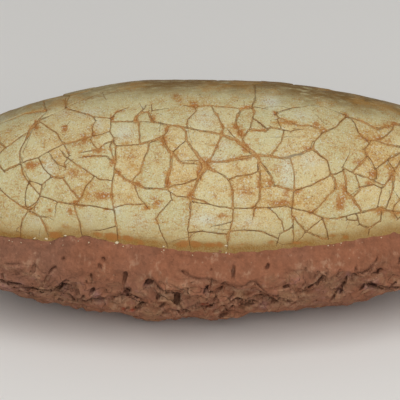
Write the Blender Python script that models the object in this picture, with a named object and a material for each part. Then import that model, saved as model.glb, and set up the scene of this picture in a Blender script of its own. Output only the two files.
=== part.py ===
"""Fossil dinosaur egg, half buried in the red-brown rock it was found in.

Two pieces: the egg, a long cream shell broken into plates by a net of cracks, and the matrix, the cradle
of chiselled rock that it lies in and that rests on a small flat underneath.
Metres, +Z up. The egg's axis lies along X, blunt end at -X, and the origin is the middle of the box's
underside.
"""
import math
import random

import bpy
import bmesh
import numpy as np
from mathutils import Vector, noise
from mathutils.geometry import delaunay_2d_cdt

# Driving dimensions of the egg
EGG_RADIUS = 0.033          # at its waist, the widest girth
BLUNT_HALF = 0.084          # waist to blunt end
POINTED_HALF = 0.096        # waist to pointed end

# Driving dimensions of the rock
ROCK_HALF_WIDTH = 0.0385    # widest, just below the lip
ROCK_DEPTH = 0.040          # egg axis to where the rounded underside would end
ROCK_FLAT = 0.0380          # egg axis to the flat that it rests on
ROCK_END = 0.0075           # rock beyond each end of the egg
LIP_DROP = 0.0060           # the smooth slope under the lip ends this far below the egg's axis
LIP_SHARE = 0.12            # share of the way from the flat's middle to the lip that the slope takes
GAP = 0.0003                # between shell and rock

# Grooves that stand for the cracks
GROOVE_SPARE = 0.00012      # added to half of a crack's width
GROOVE_SLOPE = 0.9          # depth over half width
SHELL_STEP = 0.0085         # spacing of the points inside a plate
BURIED_STEP = 0.0125        # the same, on the buried half of the shell
CRACK_CLEAR = 0.0024        # no such point lies nearer to a crack
SNAP = 0.0009               # crack ends this near to another crack meet it
FAR_CELL = 0.0122           # size of the plates on the far side and the ends
FAR_WHOLE = 0.16            # share of the borders between those plates that never cracked
FAR_RAGGED = 0.42           # how far a plate's seed strays, over the plates' size
MEET = 0.0120               # longest stretch that joins a drawn crack to the net beyond it
CROWN_END = math.radians(2)  # drawn cracks that end beyond this are carried on too

# Relief of the rock
ROCK_STEP = 0.0052          # spacing of its points
UNDER_STEP = 0.0095         # the same, underneath
UNDER_SHARE = 0.42          # share of the way from the underside's middle to the lip that counts as underneath
TIP = 0.9                   # no ledge lies where the cosine of its bearing is past this
CAVITY_STEP = 0.0072        # the same, inside the cavity
LIP_POINTS = 104            # points round the lip
LUMP = 0.0011               # height of the broad lumps
LUMP_SIZE = 0.017
KNOB = 0.0006               # height of the small lumps on them
KNOB_SIZE = 0.0065
LEDGE_HEIGHT = 0.0011       # a chiselled ledge stands out this far, and is cut back as far under it
LEDGE_REACH = 0.0075        # how far above and below it the rock is drawn out or in
LEDGE_FOOT = 0.0016         # the cut back line lies this far under the ledge
NOTCH_HALF = 0.0011         # half width of a chisel notch
NOTCH_DEPTH = 0.0013

# The crack chart is a flat drawing of the shell and rock as they look square to a plane that leans back
# CHART_TILT from upright. Columns run along the egg and rows down its side, both counted in CHART_UNIT.
CHART_UNIT = 0.000302
CHART_TILT = math.radians(34)
CHART_WAIST = 195           # column of the waist
CHART_AXIS = 191.5          # row of the egg's axis at column 0
CHART_RISE = 0.0125         # rows that the axis rises for each column
CHART_WIDE = (0, 400)       # columns that the chart covers
CHART_EDGE = math.radians(-17)  # the chart reaches this far round the far side of the crown

# Each line: the crack's width, then the points that it runs through
CRACKS = (
    (2, (0, 123), (10, 119.5), (28, 112.5), (48, 109.8)),
    (4.5, (40, 119), (36, 125), (31, 132)),
    (1.5, (31, 132), (20, 138), (7, 147.6), (0, 156)),
    (1.5, (31, 132), (27, 140), (21, 152), (22.5, 163)),
    (1.5, (41, 119.7), (57.5, 112), (67, 107.6), (67.5, 97)),
    (1.5, (42, 120.5), (57.5, 132), (65.5, 143.3)),
    (1.5, (5.5, 171), (22.5, 163), (40, 157), (49, 152), (65.5, 143.3)),
    (2, (65.5, 143.3), (71, 143.4), (83.3, 139.3), (94.5, 136)),
    (1, (67, 107.6), (83, 101), (104, 93.5), (129, 93)),
    (1.5, (67, 107.6), (77.5, 110.5), (95, 116.5), (112.5, 118.5)),
    (1.5, (112.5, 118.5), (118, 113), (130, 108)),
    (1.5, (112.5, 118.5), (112, 131.3), (115.5, 138), (114, 141)),
    (2, (112.5, 121.5), (151, 121.7), (181.7, 127), (217.5, 133.8), (235, 139.2)),
    (1.5, (95, 116.5), (97, 120.5), (94, 128), (94.5, 136)),
    (1.2, (94.5, 136), (104, 133.8), (112, 131.3)),
    (1.5, (94.5, 136), (92, 139.5), (99, 150), (106, 144.5), (114, 141)),
    (1.8, (114, 141), (111, 147), (117, 163)),
    (1.8, (114, 141), (117.5, 146), (117, 163)),
    (1.3, (117.5, 146), (126, 145.3), (141.7, 144)),
    (2, (79, 158), (100, 155.5), (107, 156), (117, 163)),
    (2, (80, 153), (99, 150)),
    (1.5, (65.5, 143.3), (71, 156), (66, 163), (66.5, 167.5)),
    (1.5, (61, 150), (66, 156), (83.3, 167.5), (100, 178.8), (115.4, 180.8)),
    (1, (50.5, 154), (60, 164.5), (66.5, 167.5)),
    (1.5, (40, 157), (45, 168), (52.5, 176.8)),
    (2, (52.5, 176.8), (65, 178.3), (73.3, 191), (81, 199.5), (75, 205)),
    (1.5, (52.5, 176.8), (43.3, 185), (41.3, 196), (36, 206.7), (30, 211)),
    (1.5, (96, 175.8), (86.7, 188.3), (81, 199.5)),
    (1.8, (117, 163), (113.8, 184), (112.5, 198), (114, 207.5)),
    (2.2, (116.7, 171), (127.5, 179.6), (146.7, 188.8), (157.5, 188.3), (166.5, 189)),
    (1.6, (41.3, 196), (58, 201.7), (75, 205)),
    (1.2, (29.5, 182), (35.5, 189), (41.3, 196)),
    (1.6, (22.5, 163), (24, 172.5), (29.5, 182)),
    (1, (29.5, 182), (36, 182), (43.3, 185)),
    (1.5, (29.5, 182), (26.3, 197), (27, 208.5)),
    (1.6, (0, 189), (14, 201), (30, 211), (41, 216.8), (47, 217.5)),
    (1.3, (27, 208.5), (38.3, 202.5)),
    (1, (58, 201.7), (54, 217)),
    (1.8, (30, 211), (23.3, 219), (20, 238)),
    (2.2, (41, 216.8), (45.8, 226.7), (48, 238)),
    (1.8, (75, 205), (80.4, 223), (82, 237)),
    (1.6, (75, 205), (97.5, 206.5), (113.5, 210.5)),
    (1.5, (114, 207.5), (127.5, 204.6), (144, 205.4)),
    (1.8, (114, 207.5), (117, 226)),
    (1.2, (117, 226), (105, 230), (90, 231.5)),
    (1.2, (117, 226), (118, 243)),
    (1.6, (0, 163), (5.5, 171)),
    (1.6, (0, 141.5), (7, 147.6)),
    (3, (143.3, 112.5), (137, 118.3), (136.7, 121.7)),
    (2.2, (143.3, 112.5), (150, 111.7), (154.5, 121.8)),
    (1.2, (148, 106.3), (143.3, 112.5)),
    (1.3, (153, 105), (153.3, 111.3), (170, 108.3)),
    (2, (140.5, 121.7), (140.8, 133.3), (141.7, 144)),
    (2, (141.7, 144), (151, 141.3), (166, 136.7)),
    (2.2, (169.5, 125.4), (167.5, 133.3), (163, 138)),
    (1.6, (151, 141.3), (148, 152.5), (140.8, 171.7), (133.3, 181.5)),
    (2.6, (163, 138), (168.3, 149), (181.7, 161.7), (199, 165)),
    (2, (183.3, 105.4), (196, 106.3), (211.7, 105.8)),
    (2.2, (211.7, 105.8), (216.7, 114), (224, 127.5), (222.5, 134.6)),
    (1.6, (211.7, 105.8), (241, 108.5), (252.8, 107)),
    (1.5, (196, 106.3), (196.8, 111.5), (188.5, 120), (188, 128.3)),
    (2.4, (182, 127.5), (186.7, 131.7), (187.5, 140), (201, 160)),
    (1.1, (187.5, 140.8), (174, 151.7)),
    (2, (222, 135), (216.7, 147.5), (209, 160)),
    (2, (252.8, 107), (254.5, 112.5), (250.6, 128), (243, 137.5)),
    (1, (252.8, 107), (255.5, 101)),
    (2.4, (241, 108.5), (235.4, 124), (242.5, 138), (246, 146)),
    (4.5, (235, 139.2), (246, 147.5), (255, 154.5), (259, 162)),
    (2.5, (255, 154.5), (284.7, 158), (302, 152.5), (311, 148.5)),
    (2.6, (203, 162), (226, 161.7), (255, 154.5)),
    (5, (201, 160), (207, 168)),
    (4, (204, 166), (198.3, 178.3)),
    (1.8, (207, 168), (218.3, 172.5), (228.5, 179.3)),
    (1.3, (228.5, 179.3), (237.5, 176.3), (250, 174.6), (259.5, 170.5)),
    (2, (228.5, 179.3), (232, 191), (232.5, 208.8)),
    (2, (259, 162), (259.6, 176.7), (258.3, 199), (254, 208)),
    (2.4, (259, 162), (269.7, 175), (273, 185.4)),
    (1.5, (198.3, 178.3), (187.5, 183), (174, 185.6), (166.5, 189)),
    (2.6, (172.5, 153.8), (171.5, 167.5), (166, 186), (166.5, 189)),
    (2.8, (198.3, 178.3), (195, 188.3), (190.8, 196.7), (191.3, 201.5)),
    (1.5, (191, 198), (200, 200), (210.8, 205), (232.5, 208.8)),
    (1, (191.3, 201.5), (210.8, 205)),
    (1.6, (232.5, 208.8), (254, 208), (268, 208)),
    (1.4, (166.5, 189), (170.8, 192), (171.7, 200), (155.8, 219), (165.8, 243), (167, 249)),
    (1.2, (170.8, 192), (176.7, 196.3), (191, 198)),
    (1.3, (135, 184), (139, 196.7), (149, 209)),
    (1.5, (191.3, 201.5), (191, 212), (187, 230), (190, 250)),
    (1.1, (188.5, 233.5), (202, 231), (208, 233), (228, 234.5)),
    (1.8, (232.5, 208.8), (232, 219), (227, 236.7), (226, 251)),
    (1.3, (229, 231.7), (242.5, 230.4), (261.7, 231.9), (277, 238.8)),
    (1, (211, 227), (231.8, 223)),
    (2, (254, 208), (252, 220)),
    (1.2, (253.5, 118), (268.5, 129.5)),
    (1.8, (250.6, 128), (265, 131.3), (271, 127), (281.3, 129.5)),
    (1.2, (252.8, 107), (268, 109.5)),
    (1.5, (302, 107.3), (295.5, 107.5), (278, 112.5), (276.5, 115)),
    (1.8, (276.5, 115), (279.7, 118.3), (296.3, 125), (309.7, 125.8), (319, 129), (322, 133.5)),
    (1.3, (279.7, 118.3), (277.6, 120), (281.3, 129.5), (290.5, 131.7), (304.7, 128.3)),
    (1.7, (283.4, 131.5), (281.3, 140.8), (270, 156.7)),
    (1.4, (311, 148.5), (326.3, 161.7), (330, 175)),
    (1.4, (311, 148.5), (313.8, 141.7), (322, 133.5), (335.5, 126.7), (346.3, 115.8)),
    (1.6, (336.3, 111), (346.3, 115.8), (360.5, 120.6), (377.6, 129)),
    (2.2, (377.6, 129), (388, 125), (400, 124)),
    (1.4, (351.3, 118), (358, 131.7), (367, 140.4)),
    (2, (367, 140.4), (379.7, 139), (392, 129), (393, 124.6)),
    (2.4, (373, 140.8), (387, 145), (400, 146.7)),
    (1.4, (371, 141), (363.4, 149.6), (374.5, 169)),
    (2.2, (366.8, 153.8), (363.8, 159), (350.5, 170.8)),
    (1.4, (400, 152), (386.3, 160), (374.5, 169)),
    (1, (386.3, 160), (392, 170)),
    (2.6, (400, 158.5), (391.3, 172), (382.6, 185.8)),
    (2.6, (392.6, 169), (393.4, 190)),
    (2.2, (374.5, 169), (375, 178), (371.3, 180.4)),
    (2, (273, 185.4), (284.7, 188.8), (293, 191)),
    (1.6, (290, 157.5), (293.4, 171.7), (293, 191)),
    (1.7, (293, 191), (308, 186), (330, 175), (342.5, 171.3)),
    (1.6, (342.5, 171.3), (342, 168), (354.3, 173.5), (371.3, 180.4), (382.6, 185.8)),
    (1.7, (330, 175), (333.8, 178), (335, 189)),
    (2.2, (342.5, 171.3), (345, 191.7), (350.5, 198.3)),
    (1.6, (354.3, 173.5), (358.4, 190), (350.5, 198.3)),
    (2.4, (350.5, 198.3), (359.7, 212.5)),
    (1.4, (358.4, 190), (359.7, 187.5), (372, 184.6), (380, 188.3)),
    (1.5, (382.6, 185.8), (380, 188.3), (374.7, 208.5)),
    (2.6, (359.7, 212.5), (378, 208.3), (392, 213.5), (400, 213)),
    (1.5, (336, 218.8), (359.7, 212.5)),
    (1.2, (344.5, 216.5), (345.5, 219.6), (355.5, 220.8)),
    (1.6, (354.7, 214.5), (357.6, 225), (367, 228.8), (367, 236)),
    (1.6, (367, 228.8), (378.8, 220.8), (380, 210)),
    (1.4, (391.5, 188), (388.8, 196.7), (384.7, 208)),
    (1.3, (391, 212), (393, 206), (400, 199)),
    (1.3, (400, 216), (396, 219), (392, 213.5)),
    (1.4, (326.3, 196.7), (318, 206.7), (311, 213.8)),
    (1.6, (290.5, 208), (311, 213.8), (322, 218.3), (336, 218.8)),
    (1.3, (268, 208), (281, 221.3), (281.3, 231.3)),
    (1.6, (290.5, 208), (291.8, 230), (292.6, 246)),
    (1.6, (291.8, 226.7), (278.8, 234), (275.5, 246)),
    (1.5, (290.5, 216.7), (304.5, 231.7), (319.7, 238.8), (327, 239)),
    (1.2, (304.5, 231.7), (296.3, 242)),
    (1.2, (304.5, 231.7), (321, 219)),
    (1.4, (321, 219), (327, 239)),
    (1.4, (343, 231), (342.5, 240)),
    (1.6, (268, 208), (283, 206), (290.5, 208)),
    (1.6, (293, 191), (290.5, 208)),
    (1, (335, 189), (326.3, 196.7)),
    (1, (350.5, 150), (345, 160), (342, 168)),
)

# Chiselled ledges and notches of the rock's near side, on the same chart
LEDGES = (
    ((0, 281.6), (23, 288), (41, 291), (51, 289), (64, 283)),
    ((61, 295), (71, 300.8), (81.6, 298), (99.5, 298)),
    ((127.5, 294.4), (150.5, 302)),
    ((151.8, 279), (158, 291.8), (183.7, 289), (190, 294.4)),
    ((165.8, 311), (183.7, 312), (199, 304.6)),
    ((226.8, 284), (243.4, 288), (253.6, 281.6), (263.8, 291.8), (289.3, 302), (302, 297)),
    ((258.7, 295.7), (230.6, 309.7)),
    ((325, 275), (317.3, 285.5), (305.9, 290.6)),
    ((356, 266), (355, 271.4), (367, 271.4), (376.7, 257.4)),
    ((370.9, 281.6), (383.7, 288), (399, 288.6)),
)
NOTCHES = (
    ((52.3, 269), (42, 286.7)), ((33.8, 261), (28, 276.5)), ((92, 288), (88, 294.5)),
    ((98.9, 263.8), (98.2, 270)), ((90.5, 275), (90, 283)), ((124, 275), (121, 287)),
    ((127.5, 288), (120, 306)), ((148, 281.6), (143.5, 286.7)), ((141, 303.3), (135, 309.7)),
    ((158, 294.4), (155, 302)), ((176.7, 293), (174.7, 305.9)), ((183.7, 270), (187.5, 275)),
    ((233, 266), (232.5, 277.8)), ((223.6, 283), (211.5, 305.9)), ((205, 288), (203.8, 293)),
    ((307, 267.6), (304.6, 270)), ((318.6, 272), (313.5, 279)), ((340, 269.5), (335, 276.5)),
    ((346.7, 276.5), (328.8, 303.3)), ((379.8, 270), (372, 276.5)), ((369.6, 280), (353, 295.7)),
    ((393.9, 281.6), (388.8, 286.7)),
)
FAR_LEDGES = 13             # more of them, round the far side and the ends
FAR_NOTCHES = 26

# Height of the lip over the egg's axis along its near side: (place along the egg, height), in metres
NEAR_LIP = ((-0.092, 0.000), (-0.053, 0.0004), (-0.0405, 0.0026), (-0.0345, 0.0028), (-0.028, 0.0008),
            (-0.010, 0.0010), (0.014, -0.0004), (0.044, 0.0008), (0.062, 0.0012), (0.104, 0.0004))
FAR_LIP = 0.0010            # the far side's lip rises and falls by this much
FAR_LIP_WAVE = 0.031        # over this length

SHELL_COLOUR = (0.55, 0.46, 0.27, 1)
ROCK_COLOUR = (0.24, 0.10, 0.062, 1)

SHELL_ROUGHNESS = 0.62
ROCK_ROUGHNESS = 0.9
SHARP_SHELL = math.radians(24)
SHARP_ROCK = math.radians(20)

# The shapes are worked out on flat unrolled sheets, in millimetres
MM = 1000
MERGE_MM = 0.02             # points of a sheet nearer than this become one
WELD = 2e-6                 # the same, for the finished solids, in metres
SEED = 11
QUARTER = math.pi / 2


# --- The egg's ideal form ---------------------------------------------------------------------------------

def half_length(station):
    """Length of the egg's half that a station lies in; stations run from 0, blunt end, to pi."""
    return BLUNT_HALF if station < QUARTER else POINTED_HALF


def station_at(x):
    """Station at a place along the axis, measured from the waist."""
    half = BLUNT_HALF if x < 0 else POINTED_HALF
    return math.acos(max(-1, min(1, -x / half)))


def shell_point(station, turn, lift=0.0):
    """Point of the ideal shell; turn is measured from the crown towards -Y, lift along the normal."""
    half = half_length(station)
    radius = EGG_RADIUS * math.sin(station)
    point = Vector((-half * math.cos(station), -radius * math.sin(turn), radius * math.cos(turn)))
    normal = Vector((point.x / half ** 2, point.y / EGG_RADIUS ** 2, point.z / EGG_RADIUS ** 2))
    return point + normal.normalized() * lift


def meridian():
    """Stations with their distance along the shell from the blunt end, in millimetres."""
    stations = np.linspace(0, math.pi, 1801)
    middles = (stations[1:] + stations[:-1]) / 2
    halves = np.where(middles < QUARTER, BLUNT_HALF, POINTED_HALF)
    speed = np.hypot(halves * np.sin(middles), EGG_RADIUS * np.cos(middles))
    arcs = np.concatenate(([0], np.cumsum(speed * np.diff(stations))))
    return stations, arcs * MM


STATIONS, ARCS = meridian()


def unroll(station, turn):
    """Place on the flat sheet of the shell: distance along the meridian, and round the girth."""
    along = float(np.interp(station, STATIONS, ARCS))
    return Vector((along, turn * EGG_RADIUS * MM * math.sin(station)))


def roll(place):
    """Station and turn of a place on the shell's sheet."""
    station = float(np.interp(place.x, ARCS, STATIONS))
    girth = EGG_RADIUS * MM * math.sin(station)
    if girth < WELD * MM:
        return station, 0.0
    return station, place.y / girth


# --- The chart --------------------------------------------------------------------------------------------

def chart_place(column, row):
    """Place along the egg's axis from the waist, and distance below the axis on the chart's plane."""
    axis_row = CHART_AXIS - CHART_RISE * column
    return (column - CHART_WAIST) * CHART_UNIT, (row - axis_row) * CHART_UNIT


def chart_to_shell(column, row):
    """Place on the shell's sheet of a point of the chart."""
    x, below = chart_place(column, row)
    station = station_at(x)
    radius = EGG_RADIUS * math.sin(station)
    turn = QUARTER - CHART_TILT + math.asin(max(-1, min(1, below / radius)))
    return unroll(station, turn)


def is_drawn(place):
    """Whether the chart covers a place on the shell's sheet."""
    station, turn = roll(place)
    column = CHART_WAIST - half_length(station) * math.cos(station) / CHART_UNIT
    return CHART_WIDE[0] < column < CHART_WIDE[1] and turn > CHART_EDGE


# --- Lines on a sheet -------------------------------------------------------------------------------------

def nearest_on_line(place, line):
    """The point of a line of places that is nearest to a place."""
    best = None
    for start, end in zip(line, line[1:]):
        run = end - start
        share = (place - start).dot(run) / max(run.length_squared, 1e-12)
        foot = start + run * max(0, min(1, share))
        if best is None or (foot - place).length < (best - place).length:
            best = foot
    return best


def line_edges(line, halves):
    """The two edges of a groove whose half width at each point of its line is given."""
    edges = ([], [])
    for i, place in enumerate(line):
        before = (place - line[i - 1]).normalized() if i else None
        after = (line[i + 1] - place).normalized() if i + 1 < len(line) else None
        along = ((before or after) + (after or before)).normalized()
        bend = along.dot(after or before)
        reach = halves[i] / max(bend, 0.6)
        across = Vector((-along.y, along.x)) * reach
        edges[0].append(place + across)
        edges[1].append(place - across)
    return edges


def groove_depths(places, grooves, slope):
    """Depth at each place of V grooves, each a line of places with its half widths."""
    spots = np.array([tuple(p) for p in places])
    deepest = np.zeros(len(spots))
    for line, halves in grooves:
        for i in range(len(line) - 1):
            start = np.array(line[i])
            run = np.array(line[i + 1]) - start
            share = np.clip((spots - start) @ run / max(run @ run, 1e-12), 0, 1)
            away = np.linalg.norm(spots - start - share[:, None] * run, axis=1)
            half = halves[i] + share * (halves[i + 1] - halves[i])
            deepest = np.maximum(deepest, (half - away) * slope)
    return deepest


def triangulate(outline, lines, spots):
    """Triangles that fill an outline, with every line kept as edges and a corner at every spot."""
    places = list(outline)
    edges = []
    for line in lines:
        first = len(places)
        places += line
        edges += [(first + i, first + i + 1) for i in range(len(line) - 1)]
    places += spots
    corners, _, faces, *_ = delaunay_2d_cdt(places, edges, [list(range(len(outline)))], 1, MERGE_MM)
    return corners, faces


def spread_spots(rng, low, high, step, inside, stray=0.22):
    """Spots in staggered rows over a rectangle of a sheet, each a little out of line."""
    spots = []
    row_step = step * math.sqrt(0.75)
    for row in range(math.ceil((high[1] - low[1]) / row_step) + 1):
        for column in range(math.ceil((high[0] - low[0]) / step) + 1):
            shift = Vector((rng.uniform(-stray, stray), rng.uniform(-stray, stray))) * step
            spot = Vector((low[0] + (column + row % 2 / 2) * step, low[1] + row * row_step)) + shift
            if inside(spot):
                spots.append(spot)
    return spots


def clear_of(spots, lines, clearance):
    """The spots that keep a clearance to every line."""
    if not spots:
        return []
    grooves = [(line, [clearance] * len(line)) for line in lines]
    depths = groove_depths(spots, grooves, 1.0)
    return [spot for spot, depth in zip(spots, depths) if depth <= 0]


# --- Cracks -----------------------------------------------------------------------------------------------

def cell_net(rng):
    """Cracks of the far side and the ends: the borders of irregular cells round scattered seeds."""
    girth = math.pi * EGG_RADIUS * MM

    def near_shell(place):
        station, turn = roll(place)
        return 0.05 < station < math.pi - 0.05 and abs(turn) < math.radians(128)

    seeds = spread_spots(rng, (0, -girth), (ARCS[-1], girth), FAR_CELL * MM, near_shell, FAR_RAGGED)
    corners, _, faces, *_ = delaunay_2d_cdt(seeds, [], [], 0, MERGE_MM)
    centres = []
    borders = {}
    for index, face in enumerate(faces):
        a, b, c = (corners[i] for i in face)
        ab, ac = b - a, c - a
        twice = 2 * (ab.x * ac.y - ab.y * ac.x)
        shift = Vector((ac.y * ab.length_squared - ab.y * ac.length_squared,
                        ab.x * ac.length_squared - ac.x * ab.length_squared)) / twice
        centres.append(a + shift)
        for i in range(3):
            borders.setdefault(frozenset((face[i], face[i - 1])), []).append(index)
    net = []
    for sides in borders.values():
        if len(sides) < 2:
            continue
        start, end = (centres[i] for i in sides)
        turns = [abs(roll(place)[1]) for place in (start, end)]
        reaches = (start - end).length
        if is_drawn(start) or is_drawn(end) or max(turns) > math.radians(104) or reaches < 1.4:
            continue
        if reaches > 2 * FAR_CELL * MM or min(start.x, end.x) < 3 or max(start.x, end.x) > ARCS[-1] - 3:
            continue
        if rng.random() < FAR_WHOLE:
            continue
        across = Vector((start.y - end.y, end.x - start.x)) * rng.uniform(-0.12, 0.12)
        middle = [(start + end) / 2 + across] if reaches > 0.55 * FAR_CELL * MM else []
        net.append((rng.uniform(1.1, 2.4), [start, *middle, end]))
    return net


def drawn_cracks():
    """The cracks of the chart, each its width and its places on the shell's sheet."""
    return [(width, [chart_to_shell(*point) for point in points]) for width, *points in CRACKS]


def bridge_cracks(drawn, net):
    """Short cracks that carry the chart's open ends on to the net beyond it."""
    bridges = []
    knots = [place for _, line in net for place in (line[0], line[-1])]
    for (width, *points), (_, line) in zip(CRACKS, drawn):
        for point, end in ((points[0], line[0]), (points[-1], line[-1])):
            if CHART_WIDE[0] < point[0] < CHART_WIDE[1] and roll(end)[1] > CROWN_END:
                continue
            knot = min(knots, key=lambda place: (place - end).length)
            if (knot - end).length < MEET * MM:
                bridges.append((width, [end, knot]))
    return bridges


def join_ends(cracks):
    """Moves each crack's ends onto a crack they nearly touch, and gives every crack its half widths."""
    grooves = []
    for index, (width, line) in enumerate(cracks):
        half = (GROOVE_SPARE + width * CHART_UNIT / 2) * MM
        halves = [half] * len(line)
        others = [other for i, (_, other) in enumerate(cracks) if i != index]
        for end in (0, -1):
            knots = [place for other in others for place in other]
            knot = min(knots, key=lambda place: (place - line[end]).length)
            if (knot - line[end]).length > SNAP * MM / 2:
                feet = [nearest_on_line(line[end], other) for other in others]
                knot = min(feet, key=lambda place: (place - line[end]).length)
            if (knot - line[end]).length <= SNAP * MM:
                line[end] = knot.copy()
            else:
                halves[end] = 0.0
        grooves.append((line, halves))
    return grooves


# --- The egg ----------------------------------------------------------------------------------------------

def shell_outline():
    """Border of the shell's sheet, which closes along the buried keel."""
    steps = range(1, 24)
    stations = [math.pi * i / 24 for i in steps]
    near = [unroll(station, math.pi) for station in stations]
    far = [unroll(station, -math.pi) for station in reversed(stations)]
    return [unroll(0, 0), *far[::-1], unroll(math.pi, 0), *near[::-1]]


def make_egg(rng):
    """Closed shell with the cracks cut into it as V grooves."""
    drawn = drawn_cracks()
    net = cell_net(rng)
    grooves = join_ends(drawn + net + bridge_cracks(drawn, net))
    lines = []
    for line, halves in grooves:
        lines += [line, *line_edges(line, halves)]
    girth = math.pi * EGG_RADIUS * MM

    def exposed(place):
        station, turn = roll(place)
        rim = SHELL_STEP * MM / (EGG_RADIUS * MM * max(math.sin(station), 0.01))
        return 0.08 < station < math.pi - 0.08 and abs(turn) < math.radians(100) and rim < QUARTER

    def buried(place):
        station, turn = roll(place)
        edge = 0.45 * BURIED_STEP / (EGG_RADIUS * max(math.sin(station), 0.01))
        return 0.12 < station < math.pi - 0.12 and math.radians(106) < abs(turn) < math.pi - edge

    low, high = (0, -girth), (ARCS[-1], girth)
    spots = spread_spots(rng, low, high, SHELL_STEP * MM, exposed)
    spots += spread_spots(rng, low, high, BURIED_STEP * MM, buried)
    spots = clear_of(spots, [line for line, _ in grooves], CRACK_CLEAR * MM)
    corners, faces = triangulate(shell_outline(), lines, spots)
    depths = groove_depths(corners, grooves, GROOVE_SLOPE)
    bm = bmesh.new()
    verts = [bm.verts.new(shell_point(*roll(corner), -depth / MM)) for corner, depth in zip(corners, depths)]
    add_faces(bm, verts, faces)
    return bm


def add_faces(bm, verts, faces):
    """Adds the triangles of a sheet."""
    for face in faces:
        bm.faces.new([verts[i] for i in face])


# --- The rock ---------------------------------------------------------------------------------------------

ROCK_SHEET = (115.0, 65.0)  # half length and half width of the rock's unrolled outside, in millimetres
SLOPE_START = math.acos(LIP_DROP / ROCK_DEPTH)  # angle up from the underside where the lip's slope begins


def sheet_polar(place):
    """How far out a place of the rock's sheet is, 0 underneath and 1 at the lip, and its bearing."""
    across, up = place.x / ROCK_SHEET[0], place.y / ROCK_SHEET[1]
    return math.hypot(across, up), math.atan2(up, across)


def sheet_place(outward, bearing):
    """Place on the rock's sheet, from sheet_polar's two values."""
    return Vector((ROCK_SHEET[0] * outward * math.cos(bearing), ROCK_SHEET[1] * outward * math.sin(bearing)))


def lip_height(bearing):
    """Height of the lip over the egg's axis."""
    half = BLUNT_HALF if math.cos(bearing) < 0 else POINTED_HALF
    x = half * math.cos(bearing)
    near = float(np.interp(x, [p[0] for p in NEAR_LIP], [p[1] for p in NEAR_LIP]))
    far = FAR_LIP * math.sin(x * 2 * math.pi / FAR_LIP_WAVE) * math.sin(bearing)
    share = max(0, min(1, 0.5 - 3 * math.sin(bearing)))
    return near * share + far * (1 - share)


def cavity_point(place):
    """Point of the cavity's wall, which follows the buried shell at GAP from it."""
    outward, bearing = sheet_polar(place)
    half = BLUNT_HALF if math.cos(bearing) < 0 else POINTED_HALF
    rise = outward * (QUARTER + math.asin(lip_height(bearing) / EGG_RADIUS))
    point = Vector((half * math.sin(rise) * math.cos(bearing), EGG_RADIUS * math.sin(rise) * math.sin(bearing),
                    -EGG_RADIUS * math.cos(rise)))
    normal = Vector((point.x / half ** 2, point.y / EGG_RADIUS ** 2, point.z / EGG_RADIUS ** 2)).normalized()
    if outward > 1 - 1e-6:
        return point + normal * GAP
    sag = CAVITY_STEP ** 2 / (8 * EGG_RADIUS)
    return point + normal * (GAP + sag * (1 + 2 * (point.x / half) ** 6))


def hull_point(place, lift):
    """Point of the rock's outside, lifted along its normal."""
    outward, bearing = sheet_polar(place)
    reach = (BLUNT_HALF if math.cos(bearing) < 0 else POINTED_HALF) + ROCK_END
    share = min(1, outward / (1 - LIP_SHARE))
    rise = share * SLOPE_START
    point = Vector((reach * math.sin(rise) * math.cos(bearing), ROCK_HALF_WIDTH * math.sin(rise) * math.sin(bearing),
                    -ROCK_DEPTH * math.cos(rise)))
    normal = Vector((point.x / reach ** 2, point.y / ROCK_HALF_WIDTH ** 2, point.z / ROCK_DEPTH ** 2)).normalized()
    if outward > 1 - LIP_SHARE:
        up = (outward - 1 + LIP_SHARE) / LIP_SHARE
        point = point.lerp(cavity_point(sheet_place(1, bearing)), up)
    point += normal * lift
    point.z = max(point.z, -ROCK_FLAT)
    return point


def chart_to_rock(column, row):
    """Place on the rock's sheet of a point of the chart."""
    x, below = chart_place(column, row)
    half = BLUNT_HALF if x < 0 else POINTED_HALF
    reach = half + ROCK_END
    shrink = math.sqrt(1 - (x / reach) ** 2)
    foot = LIP_DROP / ROCK_DEPTH
    foot_below = (ROCK_HALF_WIDTH * math.sqrt(shrink ** 2 - foot ** 2) * math.sin(CHART_TILT)
                  + LIP_DROP * math.cos(CHART_TILT))
    if below < foot_below:
        lip_below = EGG_RADIUS * math.sqrt(1 - (x / half) ** 2) * math.sin(CHART_TILT)
        down = max(0, (below - lip_below) / (foot_below - lip_below))
        return sheet_place(1 - LIP_SHARE * down, -math.acos(x / reach))
    side = ROCK_HALF_WIDTH * shrink * math.sin(CHART_TILT)
    drop = ROCK_DEPTH * shrink * math.cos(CHART_TILT)
    swing = math.atan2(side, drop) + math.acos(min(1, below / math.hypot(side, drop)))
    rise = math.acos(shrink * math.cos(swing))
    bearing = math.atan2(-shrink * math.sin(swing), x / reach)
    return sheet_place(rise / SLOPE_START * (1 - LIP_SHARE), bearing)


def hidden_marks(rng, count, longest):
    """Short lines on the rock's far side and ends, each a start, a middle and an end."""
    marks = []
    while len(marks) < count:
        bearing = rng.uniform(-math.pi, math.pi)
        outward = rng.uniform(0.5, 0.88)
        middle = sheet_place(outward, bearing)
        if middle.y < 0 and abs(hull_point(middle, 0).x) < 0.062 or abs(math.cos(bearing)) > TIP:
            continue
        tilt = rng.uniform(-0.5, 0.5) + (QUARTER if longest < 12 else 0)
        level = Vector((-middle.y * ROCK_SHEET[0] / ROCK_SHEET[1], middle.x)).normalized()
        run = Vector((level.x * math.cos(tilt) - level.y * math.sin(tilt),
                      level.x * math.sin(tilt) + level.y * math.cos(tilt))) * rng.uniform(0.55, 1) * longest / 2
        kink = Vector((-run.y, run.x)) * rng.uniform(-0.25, 0.25)
        if all((middle - other[1]).length > longest / 2 for other in marks):
            marks.append([middle - run, middle + kink, middle + run])
    return marks


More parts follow.
